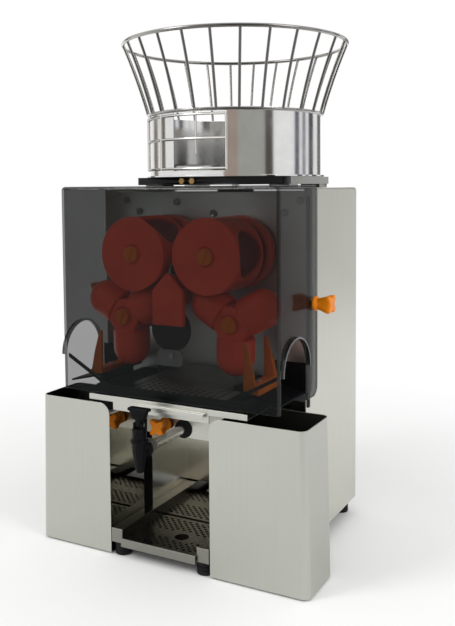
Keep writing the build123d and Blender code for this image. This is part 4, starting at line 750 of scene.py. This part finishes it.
# Radius and height above the ground
TAP_PROFILE = ((0.0, 172.0), (3.5, 171.0), (3.5, 151.6), (4.0, 151.0), (5.0, 151.0), (5.5, 151.6),
               (5.8, 154.0), (7.0, 161.0), (8.4, 168.5), (9.8, 176.0), (10.6, 180.0), (11.0, 184.0),
               (11.0, 193.6), (11.6, 194.8), (13.0, 195.6), (13.4, 196.6), (13.4, 198.8), (12.8, 199.8),
               (10.9, 200.4), (10.5, 201.6), (10.5, 212.6), (11.0, 213.4), (11.0, 215.0), (10.4, 215.8),
               (10.4, 216.6), (9.8, 217.0), (0.0, 217.0))
TAP_STEPS = 72
# Radius and distance behind the barrel's axis
BOSS_PROFILE = ((0.0, 0.0), (9.6, 0.0), (9.6, 9.0), (10.4, 10.6), (11.0, 11.4), (13.0, 12.0), (13.0, 16.8),
                (12.2, 18.0), (0.0, 18.0))
FLUTES = 12
FLUTES_LOW, FLUTES_HIGH = 153.0, 192.0
FADE_LOW, FADE_HIGH = 4.0, 8.0      # the flutes run out over these lengths
FLUTES_OUTSIDE = 4.0                # radius, clear of the spout's bore
FLUTE_DEPTH = 0.09                  # share of the radius
EAR_SIZE = (3.0, 10.0, 10.0)
EAR_ROUND = 1.0
EAR_X, EAR_Z = 6.8, 220.5           # an ear's middle, from the barrel's axis and above the ground
# Height above the ground and half the width and depth
LEVER_RINGS = ((218.0, 3.6, 2.8), (219.0, 4.8, 4.0), (226.6, 5.0, 4.5), (229.0, 5.0, 4.4), (230.4, 9.4, 5.0),
               (231.4, 10.4, 5.8), (236.0, 11.8, 5.8), (240.8, 13.4, 5.8), (241.6, 14.4, 5.8),
               (242.6, 17.0, 6.0), (243.6, 17.5, 6.0), (245.6, 17.5, 6.0), (246.6, 16.8, 5.4),
               (247.0, 15.6, 4.4))
LEVER_ROUND = 1.6
LEVER_LEVEL = 0.2                   # an edge that rises less lies in a ring


def tap_body():
    """Tapered spout with flutes, barrel with its collar, boss and the two ears of the lever."""
    axis_foot = spot(TAP_X, TAP_Y, 0)
    shape = bmesh.new()
    lathe(shape, TAP_PROFILE, axis_foot, (0, 0, 1), steps=TAP_STEPS)
    for vert in shape.verts:
        out = Vector((vert.co.x - axis_foot.x, vert.co.y - axis_foot.y, 0))
        height = vert.co.z / MM
        if FLUTES_LOW < height < FLUTES_HIGH and out.length > FLUTES_OUTSIDE * MM:
            fade = min(1.0, (height - FLUTES_LOW) / FADE_LOW, (FLUTES_HIGH - height) / FADE_HIGH)
            flute = 0.5 - 0.5 * math.cos(FLUTES * math.atan2(out.y, out.x))
            vert.co -= out * FLUTE_DEPTH * fade * flute
    lathe(shape, BOSS_PROFILE, spot(TAP_X, TAP_Y, TAP_Z), (0, 1, 0))
    close_up(shape)
    for side in (-1, 1):
        ear = rounded_block(shape, EAR_SIZE, EAR_ROUND, 2)
        bmesh.ops.translate(shape, verts=ear, vec=spot(TAP_X + side * EAR_X, TAP_Y, EAR_Z))
    piece(shape, "tap_barrel", "base", (tap_plastic,), ("tap_body",))


def tap_lever():
    """The lever, from its tongue up to the wide thumb bar."""
    shape = bmesh.new()
    bmesh.ops.create_grid(shape, x_segments=1, y_segments=1, size=1.0)
    face = shape.faces[:][0]
    for step, (height, half_x, half_y) in enumerate(LEVER_RINGS):
        if step:
            face = bmesh.ops.extrude_discrete_faces(shape, faces=[face])["faces"][0]
        for vert in face.verts:
            x, y = math.copysign(half_x, vert.co.x), math.copysign(half_y, vert.co.y)
            vert.co = Vector((x, y, height)) * MM
    bmesh.ops.contextual_create(shape, geom=[edge for edge in shape.edges if edge.is_boundary])
    upright = [edge for edge in shape.edges
               if abs(edge.verts[0].co.z - edge.verts[1].co.z) > LEVER_LEVEL * MM]
    round_edges(shape, upright, LEVER_ROUND, 3)
    bmesh.ops.translate(shape, verts=shape.verts, vec=spot(TAP_X, TAP_Y, 0))
    close_up(shape)
    piece(shape, "tap_thumb_lever", "tap_handle", (tap_plastic,), ("tap_lever",),
          crease=40.0)


# All pieces

EASED_NODES = (
    ("body_shell", "brushed_stainless", body_steel),
    ("rear_cover", "brushed_stainless", body_steel),
    ("tray_shelf", "brushed_stainless", flat_steel),
    ("juice_tank", "brushed_stainless", flat_steel),
    ("guard_bracket", "brushed_stainless", bracket_steel),
    ("juice_tray", "black_plastic", black_plastic),
    ("peel_slides", "black_plastic", slide_plastic),
    ("centre_guard", "black_plastic", dark_plastic),
    ("hopper_band", "polished_steel", band_chrome),
    ("power_switch", "black_plastic", black_plastic),
    ("mains_inlet", "black_plastic", black_plastic),
)
# Voxel size and passes of smoothing
DRUM_MOULD = (1.1, 6)
HOLDER_MOULD = (0.9, 5)
STRIPPER_MOULD = (0.9, 4)

for side in ("left", "right"):
    eased(side + "_bin", "bin_" + side, bin_steel, paint=bin_paint(side + "_bin"),
          others=(mirror_steel, bin_painted_shade))
eased("drip_pan", "drip_tray", pan_painted_shade, paint=pan_paint, others=(lip_painted_shade,))
eased("base_rails", "base", rail_steel, paint=rail_paint, others=(rail_side_painted_shade, lip_painted_shade))
for name, slot, finish in EASED_NODES:
    eased(name, "base", finish)
screw_heads()
eased("tunnel_liner", "base", liner_steel, paint=liner_paint, others=(black_plastic,))
strainer_rim()
drip_plates()
ribbed_feet()
bracket_plate()
cover_sheet()
for where in ("upper_left", "upper_right", "lower_left", "lower_right"):
    moulding(where + "_drum", where, "red_plastic", cup_plastic.get(where, red_plastic), *DRUM_MOULD)
    drum_knob(where)
moulding("knife_holder", "base", "red_plastic", red_plastic, *HOLDER_MOULD)
moulding("peel_strippers", "base", "orange_plastic", stripper_plastic, *STRIPPER_MOULD)
for side, outward, inner_end in (("left", -1, HIGH), ("right", 1, LOW)):
    node = "cover_knob_" + side
    lobed_knob(node, "cover_nut_" + side, seat_of(node, "x", inner_end), (outward, 0, 0))
lobed_knob("tank_knob", "tank_nut", seat_of("tank_knob", "y", HIGH), (0, -1, 0))
tap_body()
tap_lever()


# Floor, world, cards and lamps, in metres

FLOOR_R = 30.0
FLOOR_DROP = 0.0005                 # keeps the floor clear of the feet
GLOW_FROM, GLOW_FULL = 0.4, 1.1     # distances at which the floor turns into a plain white ground
AMBIENT = 0.75
CARD_LOW, CARD_HIGH = -0.2, 2.2
CARD_AWAY = 2.6
CARD_STEPS = 8
LAMP_SIZE = 1.2
LAMP_AIM = Vector((0, 0, 0.4))


def stage_floor():
    """White paper that fades into a glowing ground."""
    mesh = bpy.data.meshes.new("floor")
    shape = bmesh.new()
    bmesh.ops.create_circle(shape, cap_ends=True, segments=64, radius=FLOOR_R)
    shape.to_mesh(mesh)
    shape.free()
    floor = bpy.data.objects.new("floor", mesh)
    bpy.context.scene.collection.objects.link(floor)
    floor.location.z = -FLOOR_DROP
    finish = Finish("floor_paper", (0.96, 0.96, 0.955), Roughness=0.9, Specular_IOR_Level=0.1)
    away = finish.add("VectorMath", {"operation": "LENGTH"}, {0: finish.place()}, output="Value")
    glow = finish.add("Emission", {}, {"Color": (1, 1, 1, 1), "Strength": 1.0})
    share = finish.ramp(away, GLOW_FROM, GLOW_FULL)
    paper = Wire(finish, finish.shader.outputs[0])
    both = finish.add("MixShader", {}, {0: share, 1: paper, 2: glow})
    finish.tree.links.new(both.socket, finish.tree.nodes["Material Output"].inputs["Surface"])
    mesh.materials.append(finish.material)


def studio_world():
    """A white world that lights the part a little less than it shows."""
    world = bpy.data.worlds.new("studio")
    bpy.context.scene.world = world
    world.use_nodes = True
    tree = world.node_tree
    back = tree.nodes["Background"]
    path = tree.nodes.new("ShaderNodeLightPath")
    seen = path.outputs["Is Camera Ray"]
    for ray in ("Is Glossy Ray", "Is Transmission Ray"):
        either = tree.nodes.new("ShaderNodeMath")
        either.operation = "MAXIMUM"
        tree.links.new(seen, either.inputs[0])
        tree.links.new(path.outputs[ray], either.inputs[1])
        seen = either.outputs[0]
    level = tree.nodes.new("ShaderNodeMapRange")
    level.inputs["To Min"].default_value = AMBIENT
    level.inputs["To Max"].default_value = 1.0
    tree.links.new(seen, level.inputs["Value"])
    tree.links.new(level.outputs[0], back.inputs["Strength"])
    back.inputs["Color"].default_value = (1, 1, 1, 1)


def reflector_card(name, start, end, colour):
    """A tall curved card that only mirrors show, between two bearings from the front towards the right."""
    shape = bmesh.new()
    angle = math.radians(start)
    x, y = CARD_AWAY * math.sin(angle), -CARD_AWAY * math.cos(angle)
    edge = shape.edges.new([shape.verts.new((x, y, z)) for z in (CARD_LOW, CARD_HIGH)])
    bmesh.ops.spin(shape, geom=[edge], cent=(0, 0, 0), axis=(0, 0, 1), angle=math.radians(end - start),
                   steps=CARD_STEPS)
    mesh = bpy.data.meshes.new(name)
    shape.to_mesh(mesh)
    shape.free()
    card = bpy.data.objects.new(name, mesh)
    bpy.context.scene.collection.objects.link(card)
    finish = Finish(name, (0, 0, 0), Roughness=1.0, Specular_IOR_Level=0.0, Emission_Color=(*colour, 1),
                    Emission_Strength=1.0)
    mesh.materials.append(finish.material)
    card.visible_camera = False
    card.visible_diffuse = False
    card.visible_shadow = False
    card.visible_transmission = False


def lamp(name, place, power):
    data = bpy.data.lights.new(name, "AREA")
    data.shape = "DISK"
    data.size = LAMP_SIZE
    data.energy = power
    light = bpy.data.objects.new(name, data)
    light.location = place
    light.rotation_mode = "QUATERNION"
    light.rotation_quaternion = (LAMP_AIM - Vector(place)).to_track_quat("-Z", "Y")
    bpy.context.scene.collection.objects.link(light)


stage_floor()
studio_world()
reflector_card("card_warm", 14, 31, (0.40, 0.32, 0.27))
reflector_card("card_grey", 31, 66, (0.42, 0.42, 0.39))
reflector_card("card_dark", 66, 77, (0.06, 0.05, 0.045))
reflector_card("card_thin_1", 110, 118, (0.10, 0.10, 0.14))
reflector_card("card_thin_2", 124, 131, (0.30, 0.28, 0.36))
reflector_card("card_thin_3", 138, 150, (0.08, 0.08, 0.09))
reflector_card("card_left", -110, -96, (0.25, 0.22, 0.19))
reflector_card("card_back", 165, 185, (0.18, 0.17, 0.17))
lamp("key", (-1.4, -2.0, 2.2), 28)
lamp("side", (2.4, -0.6, 1.8), 22)


# Camera, fitted to the photograph: pixels, degrees and metres

PHOTO_W, PHOTO_H = 455, 626
FOCAL_PX = 809.68
MIDDLE_X, MIDDLE_Y = 222.54, 239.78
BEARING, RISE, ROLL = 28.1899, 3.7394, -0.4368
DISTANCE = 1.32812
AIM = Vector((0.011378, 0.001738, 0.480551))
SENSOR_W = 36.0     # millimetres


def photo_camera():
    bearing, rise, roll = (math.radians(angle) for angle in (BEARING, RISE, ROLL))
    back = Vector((math.sin(bearing) * math.cos(rise), -math.cos(bearing) * math.cos(rise), math.sin(rise)))
    right = (-back).cross(Vector((0, 0, 1))).normalized()
    up = right.cross(-back)
    side = right * math.cos(roll) + up * math.sin(roll)
    top = up * math.cos(roll) - right * math.sin(roll)
    data = bpy.data.cameras.new("camera")
    data.sensor_width = SENSOR_W
    data.lens = FOCAL_PX / PHOTO_H * SENSOR_W
    data.shift_x = (PHOTO_W / 2 - MIDDLE_X) / PHOTO_H
    data.shift_y = (MIDDLE_Y - PHOTO_H / 2) / PHOTO_H
    camera = bpy.data.objects.new("camera", data)
    turn = Matrix((side, top, back)).transposed().to_4x4()
    camera.matrix_world = Matrix.Translation(AIM + back * DISTANCE) @ turn
    bpy.context.scene.collection.objects.link(camera)
    bpy.context.scene.camera = camera


photo_camera()
bpy.context.scene.view_settings.view_transform = "Standard"
